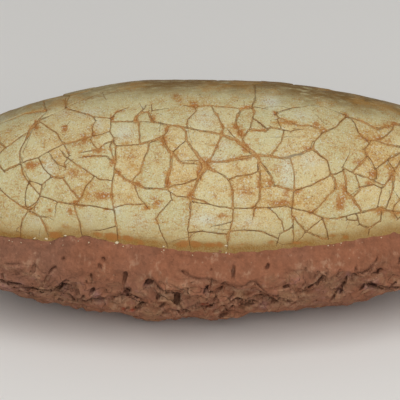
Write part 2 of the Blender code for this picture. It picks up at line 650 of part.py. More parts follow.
def ledge_lift(place, ledges):
    """How far the ledges draw the rock out, above them, or in, below them."""
    lift = 0.0
    out, _ = sheet_polar(place)
    for line in ledges:
        foot = nearest_on_line(place, line)
        away = (foot - place).length / MM
        if sheet_polar(foot)[0] <= out + 1e-6:
            lift += LEDGE_HEIGHT * max(0, 1 - away / LEDGE_REACH)
        elif away < LEDGE_FOOT:
            lift += LEDGE_HEIGHT * (1 - 2 * away / LEDGE_FOOT)
        else:
            lift -= LEDGE_HEIGHT * max(0, 1 - (away - LEDGE_FOOT) / LEDGE_REACH)
    return max(-1.4 * LEDGE_HEIGHT, min(1.4 * LEDGE_HEIGHT, lift))


def rock_lift(place, ledges):
    """Relief of the rock's outside before the notches."""
    outward, _ = sheet_polar(place)
    point = hull_point(place, 0)
    lumps = LUMP * noise.noise(point / LUMP_SIZE) + KNOB * noise.noise(point / KNOB_SIZE)
    calm = max(0, min(1, (1 - outward) / LIP_SHARE))
    return (lumps + ledge_lift(place, ledges)) * calm


def make_rock(rng):
    """Closed cradle: the chiselled outside and the cavity's wall, which meet along the lip."""
    bearings = [2 * math.pi * i / LIP_POINTS for i in range(LIP_POINTS)]
    outline = [sheet_place(1, bearing) for bearing in bearings]
    ledges = [[chart_to_rock(*point) for point in line] for line in LEDGES]
    ledges += hidden_marks(rng, FAR_LEDGES, 26)
    notches = [[chart_to_rock(*point) for point in line] for line in NOTCHES]
    notches += hidden_marks(rng, FAR_NOTCHES, 8)
    grooves = []
    for line in notches:
        middle = (line[0] + line[-1]) / 2
        grooves.append(([line[0], middle, line[-1]], [0, NOTCH_HALF * MM, 0]))
    feet = [[place - place.normalized() * LEDGE_FOOT * MM for place in line] for line in ledges]
    lines = ledges + feet
    for line, halves in grooves:
        lines += [line, *line_edges(line, halves)]

    def outside(place):
        return UNDER_SHARE < sheet_polar(place)[0] < 1 - 0.4 * ROCK_STEP * MM / ROCK_SHEET[1]

    def underneath(place):
        return sheet_polar(place)[0] <= UNDER_SHARE

    def walled(place):
        return sheet_polar(place)[0] < 1 - 0.5 * CAVITY_STEP * MM / ROCK_SHEET[1]

    high = Vector(ROCK_SHEET)
    spots = spread_spots(rng, -high, high, ROCK_STEP * MM, outside)
    spots += spread_spots(rng, -high, high, UNDER_STEP * MM, underneath)
    spots = clear_of(spots, lines, ROCK_STEP * MM / 3)
    corners, faces = triangulate(outline, lines, spots)
    cuts = groove_depths(corners, grooves, NOTCH_DEPTH / NOTCH_HALF)
    bm = bmesh.new()
    verts = []
    for corner, cut in zip(corners, cuts):
        on_lip = sheet_polar(corner)[0] > 1 - 1e-6
        lift = 0 if on_lip else rock_lift(corner, ledges) - cut / MM
        verts.append(bm.verts.new(cavity_point(corner) if on_lip else hull_point(corner, lift)))
    add_faces(bm, verts, faces)
    wall_spots = spread_spots(rng, -high, high, CAVITY_STEP * MM, walled)
    corners, faces = triangulate(outline, [], wall_spots)
    add_faces(bm, [bm.verts.new(cavity_point(corner)) for corner in corners], faces)
    return bm


# --- Objects ----------------------------------------------------------------------------------------------

def plain_material(name, colour, roughness):
    """Principled material of one colour."""
    material = bpy.data.materials.new(name)
    material.use_nodes = True
    shader = material.node_tree.nodes["Principled BSDF"]
    shader.inputs["Base Color"].default_value = colour
    shader.inputs["Roughness"].default_value = roughness
    shader.inputs["Metallic"].default_value = 0.0
    return material


def make_object(name, bm, material, sharp):
    """Closes a mesh along its seams, points its faces outward and puts it in the scene."""
    bmesh.ops.remove_doubles(bm, verts=bm.verts, dist=WELD)
    bmesh.ops.recalc_face_normals(bm, faces=bm.faces)
    mesh = bpy.data.meshes.new(name)
    bm.to_mesh(mesh)
    bm.free()
    mesh.shade_smooth()
    mesh.set_sharp_from_angle(angle=sharp)
    mesh.materials.append(material)
    piece = bpy.data.objects.new(name, mesh)
    bpy.context.scene.collection.objects.link(piece)
    return piece


def stand_at_origin(pieces):
    """Moves the meshes so that the origin is the middle of the underside of their common box."""
    corners = [vertex.co for piece in pieces for vertex in piece.data.vertices]
    low = Vector([min(corner[i] for corner in corners) for i in range(3)])
    high = Vector([max(corner[i] for corner in corners) for i in range(3)])
    middle = (low + high) / 2
    for piece in pieces:
        for vertex in piece.data.vertices:
            vertex.co -= Vector((middle.x, middle.y, low.z))


def main():
    """Makes the two pieces."""
    for old in list(bpy.data.objects):
        bpy.data.objects.remove(old, do_unlink=True)
    rng = random.Random(SEED)
    shell = plain_material("eggshell", SHELL_COLOUR, SHELL_ROUGHNESS)
    rock = plain_material("matrix_rock", ROCK_COLOUR, ROCK_ROUGHNESS)
    egg = make_object("egg", make_egg(rng), shell, SHARP_SHELL)
    matrix = make_object("matrix", make_rock(rng), rock, SHARP_ROCK)
    stand_at_origin((egg, matrix))


main()
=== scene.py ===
"""Looks of a fossil dinosaur egg, half buried in chiselled red-brown rock.

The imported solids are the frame. The shell and the rock are remade from them with fine relief: cracked and
shifted plates, sediment in the cracks, stains, chisel marks, ledges and grains. Metres, +Z up.
"""
import math
import random

import bmesh
import bpy
import numpy as np
from bpy.props import FloatProperty, FloatVectorProperty, IntProperty, PointerProperty
from mathutils import Matrix, Vector, kdtree, noise
from mathutils.bvhtree import BVHTree


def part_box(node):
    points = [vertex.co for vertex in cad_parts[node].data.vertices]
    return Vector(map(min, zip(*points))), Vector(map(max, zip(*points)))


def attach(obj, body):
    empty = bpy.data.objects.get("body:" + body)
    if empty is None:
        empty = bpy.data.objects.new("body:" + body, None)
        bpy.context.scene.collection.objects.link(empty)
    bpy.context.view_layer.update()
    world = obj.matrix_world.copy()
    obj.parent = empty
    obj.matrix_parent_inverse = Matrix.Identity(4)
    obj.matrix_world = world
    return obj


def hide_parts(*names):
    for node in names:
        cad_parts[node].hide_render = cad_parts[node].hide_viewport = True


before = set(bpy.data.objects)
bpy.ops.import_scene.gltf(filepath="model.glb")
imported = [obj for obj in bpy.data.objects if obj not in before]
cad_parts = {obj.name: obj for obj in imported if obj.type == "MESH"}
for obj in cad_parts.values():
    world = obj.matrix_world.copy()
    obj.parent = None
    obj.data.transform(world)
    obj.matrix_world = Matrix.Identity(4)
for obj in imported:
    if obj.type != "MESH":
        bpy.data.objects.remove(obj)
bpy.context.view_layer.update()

bl_info = {
    "name": "Fossil egg dresser",
    "version": (1, 0, 0),
    "blender": (4, 5, 0),
    "location": "3D View > Sidebar > Fossil",
    "description": "Gives the packed egg and rock their fossil surface",
    "category": "Object",
}

EGG_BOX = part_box("egg")
MERGE = 2e-6                # the frame's loose triangles join where they are this near

# The shell's ideal form: a half-ellipse each side of its waist, turned about X
RADIUS = (EGG_BOX[1].z - EGG_BOX[0].z) / 2
BLUNT_HALF = 0.084
POINTED_HALF = EGG_BOX[1].x - EGG_BOX[0].x - BLUNT_HALF
GROOVE_SLOPE = 0.9          # depth over half width of the frame's crack grooves
GROOVE_SPARE = 0.00012      # by which those grooves are wider than the crack, on each side

# A flat chart of the near side, seen square to a plane that leans back CHART_TILT from upright
CHART_UNIT = 0.000302
CHART_TILT = math.radians(34)
CHART_WAIST = 195
CHART_AXIS = 191.5
CHART_RISE = 0.0125
CHART_MIDDLE = 200          # column and row of the chart's middle
CHART_SPAN = (-0.059, 0.062)    # its ends along the axis, from the waist
SLANT_LIMIT = 0.98          # keeps points off the very rim of what the chart shows of the shell

SEED = 7


def srgb(red, green, blue):
    """Linear colour from the 0-255 values a paint chart gives."""
    def linear(value):
        value /= 255
        return value / 12.92 if value <= 0.04045 else ((value + 0.055) / 1.055) ** 2.4
    return (linear(red), linear(green), linear(blue))


def colour_property(name, description, red, green, blue):
    """A colour a user may change, given as 0-255 values."""
    return FloatVectorProperty(name=name, description=description, subtype="COLOR", size=3, min=0, max=1,
                               default=srgb(red, green, blue))


def length_property(name, description, default):
    """A length a user may change, in metres."""
    return FloatProperty(name=name, description=description, default=default, min=0, unit="LENGTH",
                         precision=5)


def amount_property(name, description, default, least=0):
    """A plain number a user may change."""
    return FloatProperty(name=name, description=description, default=default, min=least)


class ShellSettings(bpy.types.PropertyGroup):
    """Sizes and colours of the eggshell."""
    crack_face: length_property("Face size at cracks", "Longest edge beside the cracks", 0.00056)
    face: length_property("Face size", "Longest edge inside the plates", 0.0013)
    buried_face: length_property("Buried face size", "Longest edge under the rock", 0.006)
    fill_depth: length_property("Crack depth", "How far the filling lies below the plates", 0.00028)
    plate_shift: length_property("Plate shift", "Most that one plate stands above another", 0.00026)
    relief: length_property("Relief", "Height of the shell's own unevenness", 0.00016)
    wander: length_property("Crack wander", "How far a crack strays sideways", 0.00026)
    cream: colour_property("Cream", "Clean shell", 208, 196, 149)
    warm: colour_property("Warm cream", "Shell a little stained", 206, 178, 120)
    pale: colour_property("Pale", "Bleached patches", 208, 208, 188)
    ochre: colour_property("Ochre", "Light stain", 182, 136, 66)
    orange: colour_property("Orange", "Strong stain and sediment", 164, 106, 48)
    brown: colour_property("Crack brown", "Dark seams of a crack", 104, 70, 36)
    cool: colour_property("Cool cream", "Greener and greyer plates", 186, 179, 132)
    # crown: partly real stain, partly painted shade on the top and back of the shell
    crown: colour_property("Crown brown", "Dull brown of the crown", 126, 94, 40)
    lip: colour_property("Lip ochre", "Olive ochre along the rock", 150, 110, 50)
    grey: colour_property("Grey", "Grey filling of one crack", 140, 130, 108)


class RockSettings(bpy.types.PropertyGroup):
    """Sizes and colours of the rock."""
    mark_face: length_property("Face size at marks", "Longest edge at notches and ledges", 0.00045)
    face: length_property("Face size", "Longest edge elsewhere on the front", 0.0008)
    cavity_face: length_property("Cavity face size", "Longest edge inside the cavity", 0.006)
    lump: length_property("Lump height", "Height of the broad lumps", 0.0006)
    scoop: length_property("Scoop depth", "Depth of the broad shallow scoops", 0.0018)
    terrace: length_property("Terrace height", "Height of one chipped terrace", 0.0011)
    grain: length_property("Grain height", "Height of the grainy roughness", 0.00012)
    notch: length_property("Notch depth", "Depth of a chisel notch", 0.0014)
    ledge: length_property("Ledge depth", "Depth of the crevice along a ledge", 0.0016)
    marks: IntProperty(name="Chisel marks", description="Marks on the sides that the chart leaves out",
                       default=230, min=0)
    red: colour_property("Red brown", "Fresh rock near the lip", 145, 93, 67)
    dull: colour_property("Dull brown", "Weathered rock", 136, 93, 72)
    tan: colour_property("Tan", "Dusty patches", 156, 116, 86)
    lilac: colour_property("Lilac", "Greyish patches", 143, 102, 92)
    rust: colour_property("Rust", "Small spots of red iron stain", 150, 50, 30)
    # dark: painted shade in the notches, along the ledges and at the terrace drops
    dark: colour_property("Dark", "Bottom of the notches", 88, 56, 43)
    lime: colour_property("Lime", "Crumbs of lime along the lip", 214, 198, 166)
    # pale: grains of lime and pale patches, and the painted highlight on the lower rims of notches and
    # beside ledges
    pale: colour_property("Pale specks", "Grains of lime and worn rims", 184, 146, 118)


class StageSettings(bpy.types.PropertyGroup):
    """Floor, light and camera."""
    lens: amount_property("Lens", "Focal length in millimetres", 1200, 10)
    key: amount_property("Key light", "Power of the large front light in watts", 7.6)
    fill: amount_property("Fill light", "Power of the low front light in watts", 2.6)
    sky: amount_property("Sky", "Strength of the even light from all round", 0.28)
    floor: colour_property("Floor", "Colour of the floor", 235, 233, 229)


class FossilSettings(bpy.types.PropertyGroup):
    """All the settings."""
    shell: PointerProperty(type=ShellSettings)
    rock: PointerProperty(type=RockSettings)
    stage: PointerProperty(type=StageSettings)


# --- Small tools ------------------------------------------------------------------------------------------

def clamp(value, low, high):
    """The value, kept between two bounds."""
    return max(low, min(high, value))


def soft_step(low, high, value):
    """0 where the value is below low, 1 where it is above high, smooth between; low may be the higher."""
    share = clamp((value - low) / (high - low), 0.0, 1.0)
    return share * share * (3 - 2 * share)


def within(span, value):
    """Whether a value lies between the two ends of a span."""
    return span[0] < value < span[1]


def layered_noise(place, *layers):
    """Noise of several sizes added up: each layer is a size in metres and a height."""
    return sum(height * noise.noise(place / size) for size, height in layers)


# --- Form of the shell and the chart ----------------------------------------------------------------------

def merged_copy(node):
    """The mesh of a frame node with its loose triangles joined."""
    bm = bmesh.new()
    bm.from_mesh(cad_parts[node].data)
    bmesh.ops.remove_doubles(bm, verts=bm.verts, dist=MERGE)
    return bm


def find_waist():
    """Where the egg's axis passes its waist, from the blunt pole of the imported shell."""
    bm = merged_copy("egg")
    pole = min((vert.co for vert in bm.verts), key=lambda co: co.x)
    waist = pole + Vector((BLUNT_HALF, 0, 0))
    bm.free()
    return waist


WAIST = find_waist()
VIEW_UP = Vector((0, math.sin(CHART_TILT), math.cos(CHART_TILT)))
VIEW_BACK = Vector((0, -math.cos(CHART_TILT), math.sin(CHART_TILT)))


def half_at(x):
    """Length of the egg's half that a place along the axis lies in."""
    return BLUNT_HALF if x < 0 else POINTED_HALF


def form_normal(local):
    """Direction square to the ideal shell, at a place given from the waist."""
    half = half_at(local.x)
    return Vector((local.x / half ** 2, local.y / RADIUS ** 2, local.z / RADIUS ** 2)).normalized()


def onto_form(local):
    """The place of the ideal shell on the line from the waist through a place."""
    half = half_at(local.x)
    size = math.sqrt((local.x / half) ** 2 + (local.y ** 2 + local.z ** 2) / RADIUS ** 2)
    return local / size


def depth_under_form(local):
    """Depth of a place under the ideal shell, along its normal."""
    gap = onto_form(local) - local
    return gap.dot(form_normal(local))


def turn_at(local):
    """Angle from the crown towards -Y."""
    return math.atan2(-local.y, local.z)


def chart_from(local):
    """Column and row of a place given from the waist."""
    column = CHART_WAIST + local.x / CHART_UNIT
    row = CHART_AXIS - CHART_RISE * column - local.dot(VIEW_UP) / CHART_UNIT
    return column, row


def chart_ray(column, row):
    """Start of the line of sight through a point of the chart, well in front of the piece."""
    rise = (CHART_AXIS - CHART_RISE * column - row) * CHART_UNIT
    return WAIST + Vector(((column - CHART_WAIST) * CHART_UNIT, 0, 0)) + VIEW_UP * rise + VIEW_BACK


def on_chart_plane(place):
    """A place moved along the line of sight onto the plane of the chart."""
    return place - VIEW_BACK * place.dot(VIEW_BACK)


def chart_point(column, row):
    """A point of the chart, in the chart's plane."""
    return on_chart_plane(chart_ray(column, row))


def chart_to_form(column, row):
    """Distance along the axis, turn from the crown, and place on the ideal shell of a point of the chart."""
    x = (column - CHART_WAIST) * CHART_UNIT
    below = (row - CHART_AXIS + CHART_RISE * column) * CHART_UNIT
    radius = RADIUS * math.sqrt(1 - (x / half_at(x)) ** 2)
    slant = math.asin(clamp(below / radius, -SLANT_LIMIT, SLANT_LIMIT))
    turn = math.pi / 2 - CHART_TILT + slant
    return x, turn, Vector((x, -radius * math.sin(turn), radius * math.cos(turn)))


def cast(surface, column, row):
    """Where the line of sight through a point of the chart meets a surface, and the normal there."""
    place, normal, *_ = surface.ray_cast(chart_ray(column, row), -VIEW_BACK)
    return place, normal


# --- Meshes and lines -------------------------------------------------------------------------------------

SAMPLE = 0.00008            # spacing of the samples along a line


def turned_until(ring, fits):
    """The ring of vertices, begun at another vertex so that it fits."""
    while not fits(ring):
        ring = ring[1:] + ring[:1]
    return ring


def cut_corners(face, middles):
    """Splits a triangle that has middles on one, two or all of its sides into triangles."""
    ring = list(face.verts)
    if len(ring) == 4:
        ring = turned_until(ring, lambda ring: ring[0] in middles)
        bmesh.utils.face_split(face, ring[0], ring[2])
        return
    ring = turned_until(ring, lambda ring: ring[-1] in middles and ring[1] in middles)
    rest = [ring[1], *ring[2:-1], ring[-1]]
    bmesh.utils.face_split(face, ring[1], ring[-1])
    face = next(part for part in rest[0].link_faces if all(vert in part.verts for vert in rest))
    if len(rest) == 5:
        bmesh.utils.face_split(face, rest[2], rest[0])
        face = next(part for part in rest[2].link_faces if rest[4] in part.verts and rest[0] in part.verts)
        bmesh.utils.face_split(face, rest[2], rest[4])
        return
    straight = (rest[0].co - rest[2].co).length < (rest[1].co - rest[3].co).length
    bmesh.utils.face_split(face, *((rest[0], rest[2]) if straight else (rest[1], rest[3])))


def split_long_edges(bm, longest, least, rounds=14):
    """Halves every edge that is longer than least and than longest says for its middle, until none is."""
    for _ in range(rounds):
        edges = []
        for edge in bm.edges:
            start, end = (vert.co for vert in edge.verts)
            length = (end - start).length
            if length > least and length > longest((start + end) / 2):
                edges.append(edge)
        if not edges:
            return
        made = bmesh.ops.bisect_edges(bm, edges=edges, cuts=1)["geom_split"]
        middles = {item for item in made if isinstance(item, bmesh.types.BMVert)}
        for face in {face for vert in middles for face in vert.link_faces}:
            cut_corners(face, middles)


def smooth(bm, verts, rounds):
    """Evens out some of the vertices."""
    for _ in range(rounds):
        bmesh.ops.smooth_vert(bm, verts=verts, factor=0.5, use_axis_x=True, use_axis_y=True, use_axis_z=True)


def move_vertices(bm, moves):
    """Moves every vertex by its own step."""
    for vert, move in zip(bm.verts, moves):
        vert.co += move


def add_object(name, data):
    """Puts a mesh, a light or a camera into the scene."""
    thing = bpy.data.objects.new(name, data)
    bpy.context.scene.collection.objects.link(thing)
    return thing


def new_mesh(name, bm, material):
    """A mesh with one material, made of what bm holds."""
    mesh = bpy.data.meshes.new(name)
    bm.to_mesh(mesh)
    bm.free()
    mesh.materials.append(material)
    return mesh


def finish_piece(name, bm, values, material, node=None):
    """Turns a mesh and its values at each vertex into a piece of the scene."""
    mesh = new_mesh(name, bm, material)
    for label, numbers in values.items():
        layer = mesh.attributes.new(label, "FLOAT", "POINT")
        layer.data.foreach_set("value", np.array(numbers, dtype=np.float32))
    mesh.shade_smooth()
    piece = add_object(name, mesh)
    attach(piece, "root")
    if node:
        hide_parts(node)
    return piece


class Lines:
    """Lines drawn on a surface, that tell how far a place lies from the nearest of them."""

    def __init__(self):
        self.places = []
        self.runs = []
        self.halves = []

    def draw(self, start, end, half_start=0.0, half_end=0.0, settle=lambda place: place, sample=SAMPLE):
        """Adds a straight stretch with a half width at each end; settle puts its samples on the surface."""
        steps = max(1, math.ceil((end - start).length / sample))
        for step in range(steps + 1):
            share = step / steps
            self.places.append(settle(start.lerp(end, share)))
            self.runs.append((end - start).normalized())
            self.halves.append(half_start + share * (half_end - half_start))

    def close(self):
        """Makes the drawn lines searchable."""
        self.tree = kdtree.KDTree(len(self.places))
        for index, place in enumerate(self.places):
            self.tree.insert(place, index)
        self.tree.balance()

    def distance(self, place):
        """Distance to the nearest line."""
        return self.tree.find(place)[2]

    def measure(self, place, normal):
        """Distance to one side of the nearest line, plain distance, and the line's half width there."""
        _, index, distance = self.tree.find(place)
        side = (place - self.places[index]).dot(normal.cross(self.runs[index]))
        return side, distance, self.halves[index]


def drawn_lines(rows, to_place, settle=lambda place: place):
    """Lines through the points of each row, which to_place turns into places."""
    lines = Lines()
    for points in rows:
        places = [to_place(*point) for point in points]
        for start, end in zip(places, places[1:]):
            lines.draw(start, end, settle=settle)
    lines.close()
    return lines


# --- The shell --------------------------------------------------------------------------------------------

VALLEY = -0.35              # an edge folded more than this is the floor of a groove
SHALLOW = 0.0001            # a floor lies at least this deep somewhere
HAIRLINE = 0.00006          # least half width of a packed crack
CRACK_BED = 0.0008          # the faces are fine this near a crack
CRACK_HOLD = 0.0009         # and the shell isn't evened out this near one
WORN_EDGE = 0.0004          # breadth and depth of the worn edge of a plate along its crack
WORN_DEPTH = 0.00005
RAGGED = 0.45               # share by which the width of a crack varies
FULL_CRACK = 0.00025        # half width of a crack whose filling lies at the full depth
LEAN = 0.022                # most that a plate leans
BURIED = -0.005             # height from the waist under which the shell's faces are large
LIP_LEVEL = -0.001          # height from the waist under which nothing of the shell shows
SHELL_FRONT = (-0.062, 0.065)   # ends of the finely cut front, along the axis from the waist
SHELL_BACK = math.radians(-40)  # its upper edge, as a turn from the crown
FAR = 4.0                   # distances are stored in millimetres up to this
LIP_FAR = 10.0              # and those from the lip up to this
SHOULDER = 0.0008           # a low swelling of the crown, and where it lies
SHOULDER_PLACE = -0.019
SHOULDER_REACH = 0.013
SHOULDER_TURN = math.radians(-34)
SHOULDER_GIRTH = math.radians(38)

# Soft spots on the chart: column, row, half width, half height, strength
STAINS = (
    (36.8, 124, 3, 7, 1.0), (32.7, 165, 9, 4, 0.9), (66, 128, 3.5, 4.5, 1.0), (85.5, 139.5, 4, 5, 0.8),
    (94.5, 134, 3, 3, 0.9), (79, 144, 8, 3, 0.6), (69.5, 152.3, 3, 4, 0.6), (99, 151.4, 10, 4, 0.6),
    (93, 156, 13, 2, 0.7), (113.6, 162.3, 4, 5, 0.6), (131, 157.7, 4, 3, 0.5), (93, 99, 14, 2.5, 0.5),
    (113, 118.6, 3, 4, 1.0), (121, 112.3, 7, 2, 0.8), (137.4, 119.5, 2.5, 4, 0.9),
    (113, 142.7, 3, 2.5, 0.8), (47.3, 109.5, 4, 1.2, 0.7), (196, 106, 4, 3, 1.0), (177.4, 96, 5, 3, 0.7),
    (181, 102, 3, 2, 0.7), (167.4, 130.5, 4, 4, 0.8), (165, 140, 4, 6, 0.8), (236.5, 126.8, 2.5, 5, 0.8),
    (241, 133, 4, 5, 0.9), (246.5, 147.7, 5, 5, 1.0), (243.7, 158.2, 11, 3, 0.7), (205, 164, 7, 5, 1.0),
    (222.8, 134.5, 2.5, 2, 0.7), (217.8, 146.4, 2, 3, 0.9), (223.3, 126, 2, 3, 0.8), (159, 154, 4, 3, 0.4),
    (153.7, 118.6, 3, 4, 0.8), (248.3, 106.8, 5, 1.5, 0.8), (260, 130, 9, 1.5, 0.7),
    (337.5, 94.5, 4, 2.5, 0.7), (355.6, 101.8, 4, 3, 0.8), (317.5, 98.6, 5, 5, 0.5),
    (315.6, 125, 4, 4, 0.8), (290.2, 123.2, 10, 3, 0.6), (324.7, 130.5, 3, 3, 0.6),
    (308.4, 148.2, 5, 2.5, 1.0), (395.6, 124, 4, 3, 0.9), (388.4, 126.8, 5, 3, 0.6),
    (367.5, 139.5, 3, 3, 0.9), (378.4, 137.7, 5, 3, 0.7), (389, 143, 7, 3, 0.6), (358.4, 162.3, 5, 4, 0.8),
    (276, 114, 2.5, 3, 1.0), (346.5, 115, 3, 2, 0.9), (264, 129.5, 4, 2, 0.9), (362.5, 136.8, 2, 2, 0.8),
    (73.6, 191.4, 3, 3, 0.7), (75.5, 174, 10, 6, 0.5), (50, 210.5, 2, 2.5, 0.8), (70, 211.4, 3, 5, 0.8),
    (65, 226.4, 4, 3, 0.9), (46.4, 230.5, 3, 4, 1.0), (20.5, 227.7, 3, 3, 0.9), (80, 226.8, 2, 5, 0.7),
    (104.5, 196, 14, 4, 0.9), (106.4, 209, 2, 2, 0.9), (118.2, 172.3, 3, 4, 0.8), (75.5, 203.2, 4, 3, 1.0),
    (25.5, 206.8, 4, 4, 0.7), (31, 208.6, 3, 3, 0.8), (118, 230.5, 3, 5, 0.6), (138, 184.5, 6, 3, 0.8),
    (147, 207.7, 3, 2, 0.8), (167.8, 182.3, 3, 8, 1.0), (200, 173.2, 3.5, 7, 0.9), (190, 196, 4, 5, 1.0),
    (232, 190, 2.5, 9, 0.4), (258.7, 181.4, 2.5, 10, 0.7), (253.3, 207.7, 3, 2.5, 1.0),
    (253.3, 216, 2.5, 5, 0.6), (222, 215.5, 8, 3, 0.7), (214.6, 196.8, 3, 4, 0.7),
    (227.4, 237.7, 3, 6, 0.9), (189.6, 237.7, 2.5, 5, 0.8), (247, 191, 11, 8, 0.45), (157, 202, 7, 5, 0.5),
    (286.5, 192.3, 4, 4, 0.8), (270, 183, 3, 5, 0.9), (296.5, 191.4, 4, 4, 0.8), (281, 202.7, 11, 3.5, 0.9),
    (270.6, 196, 1.5, 2, 0.7), (311, 212.3, 4, 3, 0.8), (304.3, 231.8, 2, 2, 0.4), (293, 217.7, 3, 3, 0.8),
    (344.3, 189.5, 3, 10, 0.8), (340.2, 204, 5, 7, 1.0), (353.8, 204, 3, 5, 0.6), (372.5, 174, 4, 4.5, 0.9),
    (391, 177.7, 4, 9, 0.8), (379.3, 210.5, 5, 3.5, 1.0), (368.4, 184, 6, 2, 0.7),
    (360.2, 212.7, 2.5, 2, 0.6), (365.6, 230.5, 2, 3, 0.8), (394, 214, 5, 5, 0.7),
)
PALES = (
    (272, 102, 9, 6, 0.9), (287, 172, 7, 18, 0.7), (125, 133, 9, 8, 0.7), (100, 125, 5, 6, 0.5),
    (215, 160, 12, 5, 0.6), (205, 220, 16, 7, 0.7), (116, 210, 5, 5, 0.9), (50, 168, 7, 9, 0.6),
    (35, 222, 7, 7, 0.5), (88, 220, 6, 9, 0.4), (206, 120, 11, 9, 0.5), (248, 222, 11, 6, 0.5),
    (310, 160, 12, 8, 0.5), (302, 116, 12, 5, 0.4), (90, 113, 12, 4, 0.5), (140, 222, 14, 8, 0.4),
    (66, 113, 5, 4, 0.4), (225, 145, 8, 5, 0.4), (240, 195, 7, 8, 0.4), (183, 160, 5, 5, 0.3),
)
WARMTHS = (
    (365, 150, 45, 60, 0.75), (90, 195, 45, 16, 0.8), (160, 172, 30, 22, 0.6), (285, 205, 45, 18, 0.6),
    (240, 180, 30, 20, 0.4), (340, 225, 45, 12, 0.5), (10, 225, 25, 16, 0.5), (215, 105, 60, 8, 0.4),
)
GREYS = ((294, 155, 9, 4, 1.0), (96, 120, 3, 3, 0.5), (214, 120, 4, 4, 0.3))
# Sediment that hides a crack
COVERS = ((254, 88, 6, 9, 1.0), (254, 95, 5, 5, 0.9))
LIP_ORANGES = (
    (55.5, 235.5, 8, 4, 1.0), (98, 234.5, 7, 2.5, 0.7), (113, 237, 9, 5, 1.0), (128, 239, 7, 5, 0.9),
    (139, 242, 7, 4, 0.9), (153, 243, 8, 4, 0.6), (182, 244, 8, 4, 1.0), (196, 244.3, 9, 4, 1.0),
    (210, 244.3, 9, 4, 1.0), (219, 244, 6, 4, 1.0), (244, 246.5, 17, 4, 0.5), (270, 243, 6, 4, 0.6),
    (296, 243, 8, 3, 0.6), (308, 243, 6, 2.5, 0.6), (332, 235, 5, 2.2, 0.8), (344.5, 236, 3, 4, 0.9),
    (19, 237, 5, 4, 0.8), (6, 235, 8, 2.5, 0.6), (29, 238, 5, 2.5, 0.5),
)
# Each kind of spot, those on the chart, how many are scattered elsewhere, and how wide those are at most
SPOTS = (
    ("stain", STAINS, 34, 0.006), ("pale", PALES, 34, 0.007), ("warm", WARMTHS, 17, 0.02),
    ("grey", GREYS, 0, 0.0), ("cover", COVERS, 0, 0.0), ("rim", LIP_ORANGES, 4, 0.01),
)
SPOT_SQUEEZE = 0.35         # least share to which the chart foreshortens a spot's height
SPOT_ENDS = 0.95            # share of the shell's length that has scattered spots
SPOT_BACK = math.radians(-36)   # turn beyond which the chart leaves the shell out

# Hair cracks on the chart, each a line of points
HAIRS = (
    ((29, 132), (26, 140), (22.5, 147), (21, 153), (22.5, 160)),
    ((33, 131), (30, 139), (27, 146), (24, 152), (23.5, 160)), ((0, 141), (3.5, 144), (7, 148)),
    ((61, 150), (66, 155), (71, 160)), ((51, 156), (55, 161), (59, 166), (60, 170)),
    ((73, 160), (67, 164), (66, 170)), ((71, 121), (67.5, 125.5)), ((26, 172), (28.5, 177), (30, 181)),
    ((31, 181), (36, 183), (41, 183.5)), ((42, 185), (43, 189), (45, 187), (46, 183)),
    ((38, 203), (35.5, 206), (34, 211)), ((80, 204), (86, 205.5), (94, 207)),
    ((21, 226), (17, 228), (16, 231), (19, 232)), ((42, 216), (48, 217), (52, 220)),
    ((40, 229), (39, 233), (39, 238)), ((102, 94), (105, 95), (107.5, 101)),
    ((141, 104), (143.5, 109), (148, 106)), ((162, 122), (161, 127), (161, 131)),
    ((191, 118), (188, 121), (187.5, 126)), ((191, 119), (191.5, 128)),
    ((189, 131), (190, 137), (193, 143)), ((191, 235), (196, 232), (203, 231)),
    ((172, 241), (181, 238.5), (190, 237.5)), ((139, 237), (146, 238), (156, 238)),
    ((245, 101), (246, 106)), ((255.5, 99), (253, 106)), ((257, 107), (263, 109.3), (268, 109.5)),
    ((266, 108.5), (274, 107), (283, 107), (288, 109), (300, 108)),
    ((276.7, 115), (293, 109), (315, 106), (328, 109), (345, 115)), ((268, 137), (284, 137), (300, 137)),
    ((258, 187), (264, 187.5), (271, 186)), ((210, 227.5), (216, 225), (223, 223.5), (231, 222)),
    ((208, 232), (214, 232), (220, 233), (226, 234)), ((215, 229), (222, 229), (228, 230)),
    ((276, 241), (281, 244.5), (290, 243.5)), ((295, 129), (300, 129)),
    ((316, 115), (320, 119), (325, 124)), ((332, 175), (334, 182), (334.5, 189)),
    ((358, 190), (354, 192.5), (350, 196)), ((357, 188), (364, 185.5), (372, 184.5), (379, 187)),
    ((389.5, 192), (388.5, 200), (385, 207)), ((387, 163), (390, 167)),
    ((348, 222), (346, 227), (345, 231)), ((391, 156), (386, 161), (382, 165)), ((395, 154), (400, 152)),
)


def chart_spots(rows):
    """Centres on the ideal shell of the chart's soft spots, with their reach along and round the egg."""
    spots = []
    for column, row, half_width, half_height, strength in rows:
        x, turn, _ = chart_to_form(column, row)
        squeeze = max(SPOT_SQUEEZE, math.cos(turn - math.pi / 2 + CHART_TILT))
        spots.append((x, turn, half_width * CHART_UNIT, half_height * CHART_UNIT / squeeze, strength))
    return spots


def far_spots(rng, count, widest):
    """Scattered soft spots for the far side and the ends."""
    spots = []
    while len(spots) < count:
        x = rng.uniform(-SPOT_ENDS * BLUNT_HALF, SPOT_ENDS * POINTED_HALF)
        turn = math.radians(rng.uniform(-90, 90))
        if turn > SPOT_BACK and within(CHART_SPAN, x):
            continue
        spots.append((x, turn, rng.uniform(0.4, 1) * widest, rng.uniform(0.2, 0.5) * widest,
                      rng.uniform(0.4, 1)))
    return spots


def spot_values(places, turns, spots):
    """Strength at each place of the strongest soft spot there."""
    radii = np.hypot(places[:, 1], places[:, 2])
    strongest = np.zeros(len(places))
    for x, turn, half_width, half_height, strength in spots:
        along = (places[:, 0] - x) / half_width
        round_girth = (turns - turn) * radii / half_height
        strongest = np.maximum(strongest, strength * np.exp(-along ** 2 - round_girth ** 2))
    return strongest


